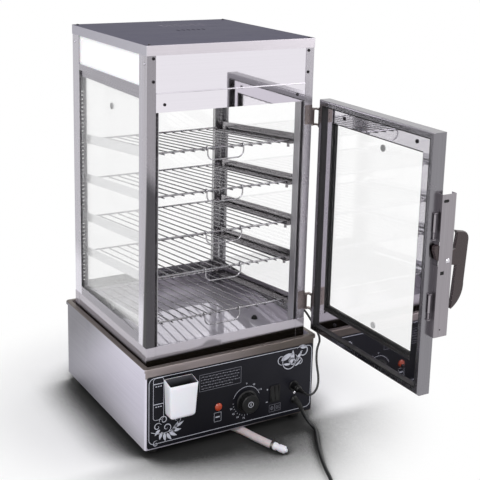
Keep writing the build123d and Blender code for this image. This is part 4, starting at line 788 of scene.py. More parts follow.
def lettering(text: str, size: float, place: Place, middle: Flat, kit: MeshKit) -> None:
    """Adds raised figures to a kit.

    Args:
        text: The figures.
        size: Height of the figures.
        place: Gives the point in space for across, up and depth.
        middle: Where the middle of the text goes.
    """
    ink = 0.00006
    curve = bpy.data.curves.new("figures", "FONT")
    curve.body = text
    curve.size = size
    curve.extrude = ink
    curve.resolution_u = 2
    curve.align_x = "CENTER"
    curve.align_y = "CENTER"
    holder = bpy.data.objects.new("figures", curve)
    mesh = bpy.data.meshes.new_from_object(holder)
    first = len(kit.points)
    for vertex in mesh.vertices:
        kit.points.append(place(middle[0] + vertex.co.x, middle[1] + vertex.co.y, vertex.co.z))
    for face in mesh.polygons:
        kit.faces.append(tuple(first + index for index in face.vertices))
    bpy.data.objects.remove(holder)
    bpy.data.curves.remove(curve)
    bpy.data.meshes.remove(mesh)


# Finishes

LEFT: Point = (-1.0, 0.0, 0.0)
FRONT: Point = (0.0, -1.0, 0.0)
UP: Point = (0.0, 0.0, 1.0)
RIGHT: Point = (1.0, 0.0, 0.0)
BACK: Point = (0.0, 1.0, 0.0)

SHELL_STEEL = Finish(
    "shell_steel", srgb(222, 218, 233), metallic=0.6, roughness=0.3, stretch=Stretch.ALONG_Y, grain=0.05,
    bump=0.000006, smudge=0.08, dust=0.02,
    painted_shading=(
        # Painted light on the left side: lighter towards the bottom, darker towards the back, darker still
        # at the top near the back.
        Fade(UP, 0.13, 0.0, srgb(248, 245, 255), LEFT),
        Fade(BACK, -0.22, 0.225, srgb(150, 148, 158), LEFT),
        Fade((0.0, 0.5, 0.85), 0.12, 0.24, srgb(118, 116, 124), LEFT),
        # Painted shade along the rim and gutter round the tray: upward and front faces there go grey-brown
        # to dark brown, the front faces more so towards the right.
        Fade(UP, 0.186, 0.189, srgb(98, 89, 84), UP),
        Fade(UP, 0.18, 0.184, srgb(146, 136, 136), FRONT),
        Fade(RIGHT, -0.1, 0.13, srgb(88, 80, 76), FRONT),
        Fade(UP, 0.183, 0.179, srgb(48, 42, 35), UP),
    ),
)
POST_STEEL = Finish(
    "post_steel", srgb(182, 178, 185), metallic=0.8, roughness=0.2, stretch=Stretch.ALONG_Z, grain=0.08,
    bump=0.000006, smudge=0.08, dust=0.02,
    painted_shading=(
        # Painted light and reflection on the corner posts: left faces lighter low down with a dark
        # reflected strip near the front; front faces of the left posts darker, with a dark reflection low
        # down.
        Fade(BACK, -0.19, -0.165, srgb(186, 183, 191), LEFT),
        Fade(UP, 0.37, 0.3, srgb(226, 223, 232), LEFT),
        Fade((0.0, -1.0, -0.05), 0.164, 0.172, srgb(24, 22, 25), LEFT),
        Fade(LEFT, 0.1, 0.12, srgb(152, 148, 154), FRONT),
        Fade((-1.2, 0.0, -1.0), -0.404, -0.344, srgb(80, 78, 82), (-0.25, -0.97, 0.0)),
    ),
)
LID_STEEL = Finish(
    "lid_steel", srgb(212, 206, 213), metallic=1.0, roughness=0.3, stretch=Stretch.ALONG_X, grain=0.05,
    bump=0.000008, smudge=0.08, dust=0.02, edge=(0.3, 0.3, 0.35, 1.0),
    painted_shading=(
        # Painted light and reflection on the lid: left-facing faces tinted towards the left, the top
        # painted dark as the reflection of a dark ceiling.
        Fade(RIGHT, 0.2, -0.21, srgb(205, 203, 210), LEFT),
        Fade(UP, 0.869, 0.871, srgb(112, 110, 121), UP),
    ),
)
HEADER_STEEL = Finish(
    "header_steel", srgb(232, 228, 235), metallic=1.0, roughness=0.02, stretch=Stretch.ALONG_X,
    grain=0.015, bump=0.0000015, smudge=0.03, dust=0.02, rough_grain=0.01,
)
MIRROR_STEEL = Finish(
    "mirror_steel", srgb(182, 177, 185), metallic=0.45, roughness=0.03, stretch=Stretch.ALONG_Y,
    grain=0.02, bump=0.000001, smudge=0.03, rough_grain=0.01,
    painted_shading=(
        # Painted light and shade on the tray: upward faces lighter, low front and left faces painted dark
        # brown as the shade in the gutter.
        Fade(UP, 0.1, 0.12, srgb(226, 222, 233), UP),
        Fade((-0.02, 0.3, 1.0), 0.159, 0.153, srgb(32, 27, 22), FRONT),
        Fade((0.3, 0.0, 1.0), 0.151, 0.145, srgb(48, 41, 36), LEFT),
    ),
)
BAR_STEEL = Finish(
    "bar_steel", srgb(160, 157, 164), metallic=1.0, roughness=0.25, stretch=Stretch.ALONG_Y, grain=0.08,
    bump=0.000008, smudge=0.08,
    # Painted light: upward faces of the upper bars lighter.
    painted_shading=(Fade(UP, 0.7, 0.775, srgb(176, 174, 182), UP),),
)
STRIP_STEEL = Finish(
    "strip_steel", srgb(168, 166, 170), metallic=0.8, roughness=0.3, stretch=Stretch.ALONG_Z, grain=0.04,
    bump=0.0000005, smudge=0.04,
    # Painted shade: the strips darker towards the back of the cabinet.
    painted_shading=(Fade(BACK, 0.0, 0.1, srgb(112, 110, 114)),),
)
RAIL_STEEL = Finish(
    "rail_steel", srgb(152, 149, 152), metallic=1.0, roughness=0.16, stretch=Stretch.ALONG_Y, grain=0.05,
    bump=0.0000005, smudge=0.05, rough_grain=0.02,
    # Painted light: the rails on the left near white, as the milky left pane shows them.
    painted_shading=(Fade(LEFT, 0.0, 0.1, srgb(250, 250, 252)),),
)
DOOR_STEEL = Finish(
    "door_steel", srgb(138, 136, 141), metallic=1.0, roughness=0.2, stretch=Stretch.ALONG_Z, grain=0.08,
    bump=0.000006, smudge=0.08,
)
BAND_STEEL = Finish(
    "band_steel", srgb(226, 223, 229), metallic=1.0, roughness=0.02, stretch=Stretch.ALONG_Z, grain=0.02,
    bump=0.000002, smudge=0.03, rough_grain=0.01,
)
LATCH_STEEL = Finish(
    "latch_steel", srgb(158, 153, 158), metallic=1.0, roughness=0.28, stretch=Stretch.ALONG_Z, grain=0.1,
    bump=0.000008, smudge=0.08,
)
HINGE_STEEL = Finish(
    "hinge_steel", srgb(142, 132, 130), metallic=1.0, roughness=0.25, stretch=Stretch.ALONG_Z, grain=0.1,
    bump=0.000008, smudge=0.1,
)
TANK_STEEL = Finish(
    "tank_steel", srgb(150, 148, 150), metallic=1.0, roughness=0.3, stretch=Stretch.EVEN, grain=0.2,
    bump=0.00003, smudge=0.2,
)
HEATER_STEEL = Finish(
    "heater_steel", srgb(118, 108, 100), metallic=1.0, roughness=0.35, stretch=Stretch.EVEN, grain=0.3,
    bump=0.00003, smudge=0.2,
)
CHROME_WIRE = Finish(
    "chrome_wire", srgb(158, 156, 160), metallic=1.0, roughness=0.08, stretch=Stretch.FINE, grain=0.06,
    # Painted reflection: dark edges, as of dark surroundings.
    bump=0.000004, smudge=0.06, rim=srgb(28, 27, 30), painted_rim_blend=0.5, rough_grain=0.03,
)
HANDLE_WIRE = Finish(
    "handle_wire", srgb(176, 174, 178), metallic=1.0, roughness=0.06, stretch=Stretch.FINE, grain=0.04,
    # Painted reflection: dark edges, as of dark surroundings.
    bump=0.000002, smudge=0.05, rim=srgb(30, 29, 32), painted_rim_blend=0.5, rough_grain=0.02,
)
CHROME_SCREW = Finish(
    "chrome_screw", srgb(214, 212, 218), metallic=1.0, roughness=0.12, stretch=Stretch.FINE, grain=0.1,
    # Painted reflection: dark edges, as of dark surroundings.
    bump=0.00001, rim=srgb(60, 58, 62),
)
DARK_SCREW = Finish(
    "dark_screw", srgb(40, 38, 41), metallic=1.0, roughness=0.3, stretch=Stretch.FINE, grain=0.1,
    bump=0.00001,
)
SPACER_GREY = Finish(
    "spacer_grey", srgb(150, 150, 151), metallic=0.0, roughness=0.45, stretch=Stretch.FINE, grain=0.1,
    bump=0.00002,
    # Painted light: spacers lighter towards the bottom.
    painted_shading=(Fade(UP, 0.5, 0.3, srgb(206, 206, 207)),),
)
SPRING_STEEL = Finish(
    "spring_steel", srgb(150, 144, 142), metallic=1.0, roughness=0.2, stretch=Stretch.FINE, grain=0.15,
    bump=0.00001,
)
BRASS = Finish(
    "brass", srgb(176, 146, 88), metallic=1.0, roughness=0.35, stretch=Stretch.FINE, grain=0.15,
    bump=0.00002,
)
PANEL_BLACK = Finish(
    "panel_black", srgb(21, 21, 27), metallic=0.0, roughness=0.34, stretch=Stretch.FINE, grain=0.1,
    bump=0.000006, smudge=0.1, specular=0.15,
    # Painted reflection: the panel lighter towards its upper right.
    painted_shading=(Fade((1.0, 0.0, 0.6), 0.0, 0.3, srgb(30, 30, 38)),),
)
PRINT_WHITE = Finish(
    "print_white", srgb(206, 208, 220), metallic=0.0, roughness=0.5, stretch=Stretch.FINE, grain=0.12,
    bump=0.000004, dust=0.0,
)
PRINT_FAINT = Finish(
    "print_faint", srgb(124, 124, 134), metallic=0.0, roughness=0.5, stretch=Stretch.FINE, grain=0.12,
    bump=0.000004, dust=0.0,
)
BLACK_PLASTIC = Finish(
    "black_plastic", srgb(11, 11, 12), metallic=0.0, roughness=0.35, stretch=Stretch.FINE, grain=0.2,
    bump=0.00002, smudge=0.12, wear=0.1, wear_colour=srgb(44, 44, 47), dust=0.02, specular=0.3,
)
KNOB_PLASTIC = Finish(
    "knob_plastic", srgb(13, 13, 14), metallic=0.0, roughness=0.38, stretch=Stretch.FINE, grain=0.2,
    bump=0.00003, smudge=0.12, wear=0.15, wear_colour=srgb(48, 48, 51), dust=0.02, specular=0.35,
)
WHITE_PLASTIC = Finish(
    "white_plastic", srgb(242, 241, 249), metallic=0.0, roughness=0.32, stretch=Stretch.FINE, grain=0.02,
    bump=0.00001, smudge=0.1, softness=0.15, dust=0.02,
)
# Painted shade: the white cup's inside, dark and darker with depth.
CUP_SHADE_INSIDE = Finish(
    "cup_inside", srgb(84, 84, 90), metallic=0.0, roughness=0.4, stretch=Stretch.FINE, grain=0.05,
    bump=0.00001, smudge=0.1, dust=0.0,
    painted_shading=(Fade(UP, 0.174, 0.155, srgb(14, 14, 16)),),
)
AMBER = Finish(
    "amber_lens", srgb(178, 60, 22), metallic=0.0, roughness=0.2, stretch=Stretch.FINE, grain=0.2,
    bump=0.00002, coat=0.5, glow=0.05,
)
BLACK_CORD = Finish(
    "black_cord", srgb(14, 14, 16), metallic=0.0, roughness=0.42, stretch=Stretch.FINE, grain=0.2,
    bump=0.00003, smudge=0.12, dust=0.0,
)
BLACK_RUBBER = Finish(
    "black_rubber", srgb(12, 12, 12), metallic=0.0, roughness=0.7, stretch=Stretch.FINE, grain=0.3,
    bump=0.00005, smudge=0.15, dust=0.06,
)
SEAL_RUBBER = Finish(
    "seal_rubber", srgb(22, 21, 23), metallic=0.0, roughness=0.5, stretch=Stretch.FINE, grain=0.25,
    bump=0.00003, smudge=0.12,
)
PINK_HOSE = Finish(
    "pink_hose", srgb(222, 211, 214), metallic=0.0, roughness=0.28, stretch=Stretch.EVEN, grain=0.08,
    bump=0.00002, smudge=0.12, softness=0.3, coat=0.3,
)
OPAL = Finish(
    "opal_glass", srgb(250, 250, 252), metallic=0.0, roughness=0.15, stretch=Stretch.EVEN, grain=0.02,
    # Painted light: the panes glow, though they are no lamp.
    bump=0.00001, smudge=0.1, softness=0.2, glow=0.2,
)
LAMP_TUBE = Finish(
    "lamp_tube", srgb(246, 246, 240), metallic=0.0, roughness=0.2, stretch=Stretch.EVEN, grain=0.03,
    bump=0.00001,
)
MAROON = Finish(
    "maroon_plastic", srgb(40, 21, 25), metallic=0.0, roughness=0.25, stretch=Stretch.FINE, grain=0.12,
    bump=0.00001, smudge=0.1, coat=0.3, wear=0.08, wear_colour=srgb(84, 52, 56), dust=0.02,
)
# Painted shade: the dark in the vent slots.
VENT_SHADE = Finish(
    "vent_dark", srgb(72, 70, 78), metallic=1.0, roughness=0.4, stretch=Stretch.FINE, grain=0.1,
    bump=0.00001, edge=(0.3, 0.3, 0.34, 1.0),
)
SIDE_GLASS = Glass("side_glass", WHITE)
# Painted reflection: a milky white veil on the left pane for the white surroundings it reflects.
REFLECTION_VEIL_GLASS = Glass("steamed_glass", WHITE, transmission=0.9)
DOOR_GLASS = Glass("door_glass", WHITE)


@dataclass
class Cabinet(Assembly):
    """Glazed cabinet: posts, header, bars, panes, strips, rails and lid.

    Attributes:
        coats: Each finish with the nodes that wear it.
        left_panes: X that the left panes are beyond.
    """

    coats: tuple[tuple[Finish | Glass, tuple[str, ...]], ...] = (
        (POST_STEEL, ("corner_posts",)),
        (HEADER_STEEL, ("header_front",)),
        (LID_STEEL, ("lid",)),
        (MIRROR_STEEL, ("floor_tray",)),
        (BAR_STEEL, ("glazing_bars",)),
        (STRIP_STEEL, ("slot_strips",)),
        (RAIL_STEEL, ("rack_rails",)),
        (OPAL, ("light_box_panes",)),
        (LAMP_TUBE, ("ceiling_lamp",)),
        (DARK_SCREW, ("frame_screws",)),
        (CHROME_SCREW, ("bright_screws",)),
        (SIDE_GLASS, ("cabinet_glass",)),
        (SPACER_GREY, ("glass_spacers",)),
        (BLACK_PLASTIC, ("tray_plug",)),
    )
    left_panes: float = -0.15

    def dress(self, store: Store) -> list[str]:
        """Gives the cabinet's nodes their finishes.

        Args:
            store: The finishes.

        Returns:
            Names of the dressed nodes.
        """
        names = super().dress(store)
        self.veil_left_pane(store)
        return names

    def veil_left_pane(self, store: Store) -> None:
        """Gives the left pane a milky glass, whose white veil is a painted reflection of the white
        surroundings.

        Args:
            store: The finishes.
        """
        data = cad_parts["cabinet_glass"].data
        data.materials.append(store.get(REFLECTION_VEIL_GLASS))
        for face in data.polygons:
            if max(data.vertices[index].co.x for index in face.vertices) < self.left_panes:
                face.material_index = 1


@dataclass
class Racks(Assembly):
    """Wire racks and their bail handles.

    Attributes:
        coats: Each finish with the nodes that wear it.
    """

    coats: tuple[tuple[Finish | Glass, tuple[str, ...]], ...] = (
        (CHROME_WIRE, tuple(f"rack_{number}" for number in range(1, 6))),
        (HANDLE_WIRE, tuple(f"rack_handle_{number}" for number in range(1, 6))),
    )


@dataclass
class Base(Assembly):
    """Base box with its water bath and control panel.

    Attributes:
        coats: Each finish with the nodes that wear it.
    """

    coats: tuple[tuple[Finish | Glass, tuple[str, ...]], ...] = (
        (SHELL_STEEL, ("base_shell", "base_bottom")),
        (PANEL_BLACK, ("control_panel",)),
        (WHITE_PLASTIC, ("hose_plug",)),
        (AMBER, ("pilot_lamp",)),
        (SPRING_STEEL, ("thermostat_body", "hose_clamp")),
        (KNOB_PLASTIC, ("thermostat_knob",)),
        (BLACK_PLASTIC, ("switch_housing", "rocker_left", "rocker_right")),
        (BLACK_PLASTIC, ("lamp_outlet", "lamp_plug", "mains_plug", "cord_glands")),
        (TANK_STEEL, ("water_tank",)),
        (HEATER_STEEL, ("heating_element",)),
        (BRASS, ("drain_elbow",)),
        (BLACK_RUBBER, ("feet",)),
    )


@dataclass
class FillCup:
    """Open white cup on the front of the panel, lower at its front lip.

    Attributes:
        centre: X of its middle.
        width: Width of the mouth.
        depth: How far it stands off the panel.
        low: Z of its bottom.
        high: Z of its rim at the panel.
        drop: How much lower the front lip is.
        wall: Thickness of its walls.
        panel: Y of the panel's front.
        foot: Radius of the bottom's rounding.
        side_taper: How much narrower each side is at the bottom.
        front_taper: How much the front draws back at the bottom.
        corner: Radius of its upright corners.
        lip: Rounding of the rim.
        flat: Share of the rim's depth that stays level at the panel.
        slope: Share of the rim's depth that slopes down.
        floor: How far the inner floor is above the bottom.
        around: Points in each ring.
    """

    centre: float = -0.1355
    width: float = 0.0665
    depth: float = 0.0325
    low: float = 0.092
    high: float = 0.175
    drop: float = 0.0055
    wall: float = 0.0022
    panel: float = -0.2246
    foot: float = 0.009
    side_taper: float = 0.0035
    front_taper: float = 0.004
    corner: float = 0.0035
    lip: float = 0.0008
    flat: float = 0.2
    slope: float = 0.7
    floor: float = 0.008
    around: int = 24

    def ring(
        self, kit: MeshKit, half: float, front: float, back: float, level: float, corner: float
    ) -> int:
        """Adds one level ring of points.

        Args:
            kit: Kit that takes it.
            half: Half of its width.
            front: Distance of its front from the panel.
            back: Distance of its back from the panel.
            level: Its height, measured at the back.
            corner: Radius of its corners.

        Returns:
            Index of its first point.
        """
        first = len(kit.points)
        corners = (
            (half - corner, back + corner, -90), (half - corner, front - corner, 0),
            (corner - half, front - corner, 90), (corner - half, back + corner, 180),
        )
        for across, off, start in corners:
            for x, y in arc((across, off), corner, start, start + 90, self.around // 4 - 1):
                tilt = min(max((y / self.depth - self.flat) / self.slope, 0.0), 1.0)
                share = min(max((level - self.low) / (self.high - self.low), 0.0), 1.0)
                sink = self.drop * tilt * share**6
                kit.points.append((self.centre + x, self.panel - y, level - sink))
        return first

    def outside(self, kit: MeshKit) -> list[int]:
        """Adds the rings of the outer skin, from the bottom up to the rim.

        Args:
            kit: Kit that takes them.

        Returns:
            First point of each ring.
        """
        rings: list[int] = []
        front_foot = 0.006
        rim_corner = 0.003
        steps = 8
        for step in range(steps + 1):
            turn = math.pi / 2 * step / steps
            inset = 1 - math.sin(turn)
            half = self.width / 2 - self.side_taper - self.foot * inset
            level = self.low + self.foot * (1 - math.cos(turn))
            front = self.depth - self.front_taper - front_foot * inset
            rings.append(self.ring(kit, half, front, 0.0, level, self.corner))
        steps = 6
        for step in range(1, steps + 1):
            share = step / steps
            level = self.low + self.foot + (self.high - self.lip - self.low - self.foot) * share
            half = self.width / 2 - self.side_taper * (1 - share)
            front = self.depth - self.front_taper * (1 - share)
            rings.append(self.ring(kit, half, front, 0.0, level, self.corner))
        half = self.width / 2 - self.lip
        rings.append(self.ring(kit, half, self.depth - self.lip, self.lip, self.high, rim_corner))
        return rings

    def inside(self, kit: MeshKit) -> list[int]:
        """Adds the rings of the inner skin, from the rim down to the floor.

        Args:
            kit: Kit that takes them.

        Returns:
            First point of each ring.
        """
        half = self.width / 2 - self.wall
        front = self.depth - self.wall
        top = self.high - self.lip
        rim = 0.0006
        rim_corner = 0.0024
        corner = 0.002
        rings = [self.ring(kit, half + rim, front + rim, self.wall, self.high, rim_corner)]
        steps = 6
        for step in range(steps + 1):
            share = step / steps
            level = top + (self.low + self.floor - self.high) * share
            across = half - self.side_taper * share
            ahead = front - self.front_taper * share
            rings.append(self.ring(kit, across, ahead, self.wall, level, corner))
        return rings

    def build(self, store: Store) -> list[str]:
        """Makes the cup, its inside painted dark as shade.

        Args:
            store: The finishes.

        Returns:
            Name of the piece.
        """
        kit = MeshKit()
        outer = self.outside(kit)
        rings = outer + self.inside(kit)
        kit.faces.append(tuple(range(rings[0], rings[0] + self.around)))
        for below, above in zip(rings, rings[1:]):
            for step in range(self.around):
                after = (step + 1) % self.around
                kit.faces.append((below + step, below + after, above + after, above + step))
        kit.faces.append(tuple(range(rings[-1] + self.around - 1, rings[-1] - 1, -1)))
        piece = kit.build("pouring_cup", store.get(WHITE_PLASTIC))
        # Painted shade on the cup's inner faces.
        piece.data.materials.append(store.get(CUP_SHADE_INSIDE))
        first_inside = 1 + self.around * len(outer)
        for face in piece.data.polygons:
            face.use_smooth = 0 < face.index < len(kit.faces) - 1
            face.material_index = 1 if face.index >= first_inside else 0
        names = show(piece, Body.CABINET, "white_plastic")
        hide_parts("fill_cup")
        return names


@dataclass
class Door(Assembly):
    """Open door with its mirror bands, channel, hinges and latch.

    Attributes:
        coats: Each finish with the nodes that wear it.
    """

    coats: tuple[tuple[Finish | Glass, tuple[str, ...]], ...] = (
        (DOOR_STEEL, ("door_frame",)),
        (BAND_STEEL, ("door_bands",)),
        (SEAL_RUBBER, ("door_seals",)),
        (DOOR_GLASS, ("door_glass",)),
        (SPACER_GREY, ("door_spacers",)),
        (DARK_SCREW, ("door_screws",)),
        (HINGE_STEEL, ("hinge_leaves", "hinge_arms")),
        (LATCH_STEEL, ("latch_channel", "latch_rods")),
        (MAROON, ("latch_lever",)),
        (CHROME_SCREW, ("latch_pivot",)),
    )


@dataclass(frozen=True)
class Box:
    """Rounded rectangle on the panel.

    Attributes:
        left: Its left side.
        right: Its right side.
        low: Its bottom.
        high: Its top.
        radius: Radius of its corners.
    """

    left: float
    right: float
    low: float
    high: float
    radius: float = 0.0008

    def outline(self) -> list[Flat]:
        """Works out its points.

        Returns:
            The points.
        """
        corners = [
            ((self.right - self.radius, self.high - self.radius), 90, 0),
            ((self.right - self.radius, self.low + self.radius), 0, -90),
            ((self.left + self.radius, self.low + self.radius), -90, -180),
            ((self.left + self.radius, self.high - self.radius), 180, 90),
        ]
        points: list[Flat] = []
        for centre, start, end in corners:
            points += arc(centre, self.radius, start, end, 8)
        return points


@dataclass(frozen=True)
class Dash:
    """Short level line on the panel.

    Attributes:
        left: Its left end.
        right: Its right end.
        level: Its height.
        half: Half of its width.
    """

    left: float
    right: float
    level: float
    half: float


@dataclass(frozen=True)
class Curl:
    """Curl that narrows towards its eye.

    Attributes:
        centre: Its eye.
        outer: Radius where it starts.
        start: Angle where it starts, in degrees.
        turns: Turns to the eye.
        hand: 1 or -1 for its sense.
        wide: Largest half width.
        eye: Radius where it ends.
    """

    centre: Flat
    outer: float
    start: float
    turns: float
    hand: int
    wide: float
    eye: float = 0.0012


@dataclass(frozen=True)
class Leaf:
    """Leaf with two curved sides.

    Attributes:
        root: Where it starts.
        angle: Its direction in degrees.
        length: Its length.
        wide: Its half width.
        bend: How far its tip curls, in degrees.
    """

    root: Flat
    angle: float
    length: float
    wide: float
    bend: float


@dataclass
class PanelPrint:
    """White print on the front of the control panel.

    Attributes:
        front: Y of the panel's front face.
        thick: Thickness of the ink.
        fine: Half width of a fine line.
        thin: Half width of a thin line.
        bold: Half width of a symbol's line.
        heavy: Half width of the border.
        border: Line round the panel.
        level_box: Tall box beside the cup.
        level_marks: Height of the lines across the tall box.
        small_box: Box left of the dial.
        note_box: Box round the rows of ticks.
        symbol_boxes: Boxes under the switches.
        dashes: Single dashes round the dial.
        dial_centre: X and Z of the dial.
        dial_ring: Radius of the dial's arc.
        dial_tick: Length of the dial's ticks.
        figure: Height of the dial's figures.
        figure_gap: Distance from the arc to the figures' middle.
        figures: Each figure with its angle in degrees.
        zero: Z of the figure over the knob.
        row_start: X where the rows of ticks start.
        row_top: Z of the highest row.
        row_pitch: Distance between rows.
        row_lengths: Length of each row.
        ring: X and Z of the ring symbol.
        waves: X of the three steam waves.
        wave_low: Z where the waves start.
        right_curls: Curls of the upper right corner.
        right_leaves: Leaves of the upper right corner.
        left_curls: Curls of the lower left corner.
        left_leaf: Single leaf of the lower left corner.
    """

    front: float = -0.2245
    thick: float = 0.00008
    fine: float = 0.0003
    thin: float = 0.0004
    bold: float = 0.0005
    heavy: float = 0.0006
    border: Box = Box(-0.202, 0.203, 0.032, 0.182, 0.012)
    level_box: Box = Box(-0.192, -0.168, 0.086, 0.181, 0.006)
    level_marks: Flat = (0.168, 0.122)
    small_box: Box = Box(-0.046, -0.029, 0.049, 0.070)
    note_box: Box = Box(-0.083, 0.019, 0.128, 0.166)
    symbol_boxes: tuple[Box, ...] = (Box(0.094, 0.108, 0.040, 0.057), Box(0.1095, 0.1235, 0.040, 0.057))
    dashes: tuple[Dash, ...] = (
        Dash(-0.0425, -0.0325, 0.0595, 0.0014),
        Dash(0.0865, 0.0895, 0.096, 0.0014),
        Dash(0.0850, 0.0895, 0.066, 0.0009),
    )
    dial_centre: Flat = (0.034, 0.081)
    dial_ring: float = 0.0345
    dial_tick: float = 0.003
    figure: float = 0.0062
    figure_gap: float = 0.0055
    figures: tuple[tuple[str, float], ...] = (
        ("30", 196), ("45", 217), ("60", 238), ("75", 262), ("90", 62), ("110", 30),
    )
    zero: float = 0.1225
    row_start: float = -0.0795
    row_top: float = 0.16
    row_pitch: float = 0.0066
    row_lengths: tuple[float, ...] = (0.092, 0.094, 0.090, 0.095, 0.078)
    ring: Flat = (0.101, 0.0485)
    waves: Point = (0.1130, 0.1165, 0.1200)
    wave_low: float = 0.0435
    right_curls: tuple[Curl, ...] = (
        Curl((0.146, 0.151), 0.021, 118, 1.25, 1, 0.0010),
        Curl((0.152, 0.154), 0.013, 60, 1.05, -1, 0.0013),
        Curl((0.178, 0.170), 0.016, 150, 1.15, -1, 0.0012),
        Curl((0.124, 0.161), 0.013, 300, 0.9, -1, 0.0008),
        Curl((0.170, 0.146), 0.012, 200, 1.0, -1, 0.0009),
    )
    right_leaves: tuple[Leaf, ...] = (
        Leaf((0.122, 0.158), 30, 0.034, 0.0062, -20),
        Leaf((0.147, 0.145), 70, 0.034, 0.0052, 24),
        Leaf((0.161, 0.146), 66, 0.030, 0.0040, -18),
        Leaf((0.172, 0.180), 10, 0.018, 0.0040, -40),
        Leaf((0.158, 0.139), 16, 0.022, 0.0022, 50),
        Leaf((0.128, 0.149), -20, 0.022, 0.0026, 30),
    )
    left_curls: tuple[Curl, ...] = (
        Curl((-0.168, 0.083), 0.009, 200, 1.2, -1, 0.0009),
        Curl((-0.160, 0.064), 0.010, 250, 1.2, 1, 0.0009),
        Curl((-0.182, 0.070), 0.008, 20, 1.1, 1, 0.0009),
        Curl((-0.136, 0.078), 0.008, 300, 1.0, 1, 0.0010),
        Curl((-0.186, 0.032), 0.006, 60, 1.1, 1, 0.0007),
    )
    left_leaf: Leaf = Leaf((-0.150, 0.050), 42, 0.028, 0.0036, 26)

    def place(self, across: float, up: float, depth: float) -> Point:
        """Point in space on the panel.

        Args:
            across: X.
            up: Z.
            depth: How far it stands off the panel.

        Returns:
            The point.
        """
        return (across, self.front - depth, up)

    def stroke(self, kit: MeshKit, route: Sequence[Flat], half: float, closed: bool = False) -> None:
        """Adds a line of even width.

        Args:
            kit: Kit that takes it.
            route: Its points.
            half: Half of its width.
            closed: Whether it joins its own start.
        """
        widths = [half] * len(route)
        kit.ribbon(route, widths, -self.thick, self.thick, self.place, closed)

    def dash(self, kit: MeshKit, dash: Dash) -> None:
        """Adds a dash.

        Args:
            kit: Kit that takes it.
            dash: The dash.
        """
        self.stroke(kit, [(dash.left, dash.level), (dash.right, dash.level)], dash.half)

    def spiral(self, kit: MeshKit, curl: Curl) -> None:
        """Adds a curl.

        Args:
            kit: Kit that takes it.
            curl: The curl.
        """
        route, widths = [], []
        steps = 34
        for step in range(steps + 1):
            share = step / steps
            radius = curl.outer * (1 - share) ** 0.8 + curl.eye
            angle = math.radians(curl.start) + curl.hand * 2 * math.pi * curl.turns * share
            across = curl.centre[0] + radius * math.cos(angle)
            up = curl.centre[1] + radius * math.sin(angle)
            route.append((across, up))
            swell = math.sin(math.pi * min(share * 1.15, 1.0)) ** 0.7
            widths.append(curl.wide * (0.25 + 0.75 * swell))
        kit.ribbon(route, widths, -self.thick, self.thick, self.place)

    def leaf(self, kit: MeshKit, leaf: Leaf) -> None:
        """Adds a leaf.

        Args:
            kit: Kit that takes it.
            leaf: The leaf.
        """
        route, widths = [], []
        across, up = leaf.root
        steps = 12
        for step in range(steps + 1):
            share = step / steps
            route.append((across, up))
            widths.append(leaf.wide * math.sin(math.pi * share ** 0.8) + 0.0001)
            way = math.radians(leaf.angle + leaf.bend * share)
            across += leaf.length / steps * math.cos(way)
            up += leaf.length / steps * math.sin(way)
        kit.ribbon(route, widths, -self.thick, self.thick, self.place)

    def flourish_right(self, kit: MeshKit) -> None:
        """Adds the ornament of the upper right corner.

        Args:
            kit: Kit that takes it.
        """
        for curl in self.right_curls:
            self.spiral(kit, curl)
        for leaf in self.right_leaves:
            self.leaf(kit, leaf)

    def flourish_left(self, kit: MeshKit) -> None:
        """Adds the ornament of the lower left corner.

        Args:
            kit: Kit that takes it.
        """
        for curl in self.left_curls:
            self.spiral(kit, curl)
        fan = 7
        pitch = 0.0055
        sag = 0.0012
        growth = 0.0012
        for place in range(fan):
            root = (-0.176 + pitch * place, 0.062 - sag * place * (fan - 1 - place))
            self.leaf(kit, Leaf(root, 26 * place - 150, 0.017 + growth * place, 0.0034, 30))
        stem = [(-0.197 + 0.011 * t, 0.060 - 0.0058 * t + 0.0011 * t * t) for t in range(6)]
        self.stroke(kit, stem, 0.0007)
        self.leaf(kit, self.left_leaf)

    def dial(self, kit: MeshKit) -> None:
        """Adds the arc, ticks and figures round the knob.

        Args:
            kit: Kit that takes them.
        """
        ring = self.dial_ring
        self.stroke(kit, arc(self.dial_centre, ring, 20, 160, 28), self.thin)
        for number, angle in self.figures:
            middle = self.on_dial(ring + self.figure_gap, angle)
            lettering(number, self.figure, self.place, middle, kit)
        for angle in range(180, 300, 12):
            inner = self.on_dial(ring - self.dial_tick, angle)
            self.stroke(kit, [inner, self.on_dial(ring, angle)], self.thin)
        lettering("0", self.figure, self.place, (self.dial_centre[0], self.zero), kit)

    def on_dial(self, radius: float, angle: float) -> Flat:
        """Point round the dial's centre.

        Args:
            radius: Distance from the centre.
            angle: Direction in degrees.

        Returns:
            The point.
        """
        turn = math.radians(angle)
        return (
            self.dial_centre[0] + radius * math.cos(turn),
            self.dial_centre[1] + radius * math.sin(turn),
        )

    def rows(self, kit: MeshKit) -> None:
        """Adds the box with its rows of uneven ticks.

        Args:
            kit: Kit that takes them.
        """
        self.stroke(kit, self.note_box.outline(), self.thin, closed=True)
        gap = 0.0014
        for row, length in enumerate(self.row_lengths):
            up = self.row_top - self.row_pitch * row
            across = self.row_start
            tick = 0
            while across < self.row_start + length:
                run = 0.0014 + 0.0009 * ((row * 5 + tick * 3) % 4)
                lift = 0.0005 * ((row + tick * 2) % 3 - 1)
                half = 0.0006 + 0.0004 * ((tick + row) % 2)
                self.stroke(kit, [(across, up + lift), (across + run, up + lift)], half)
                across += run + gap
                tick += 1

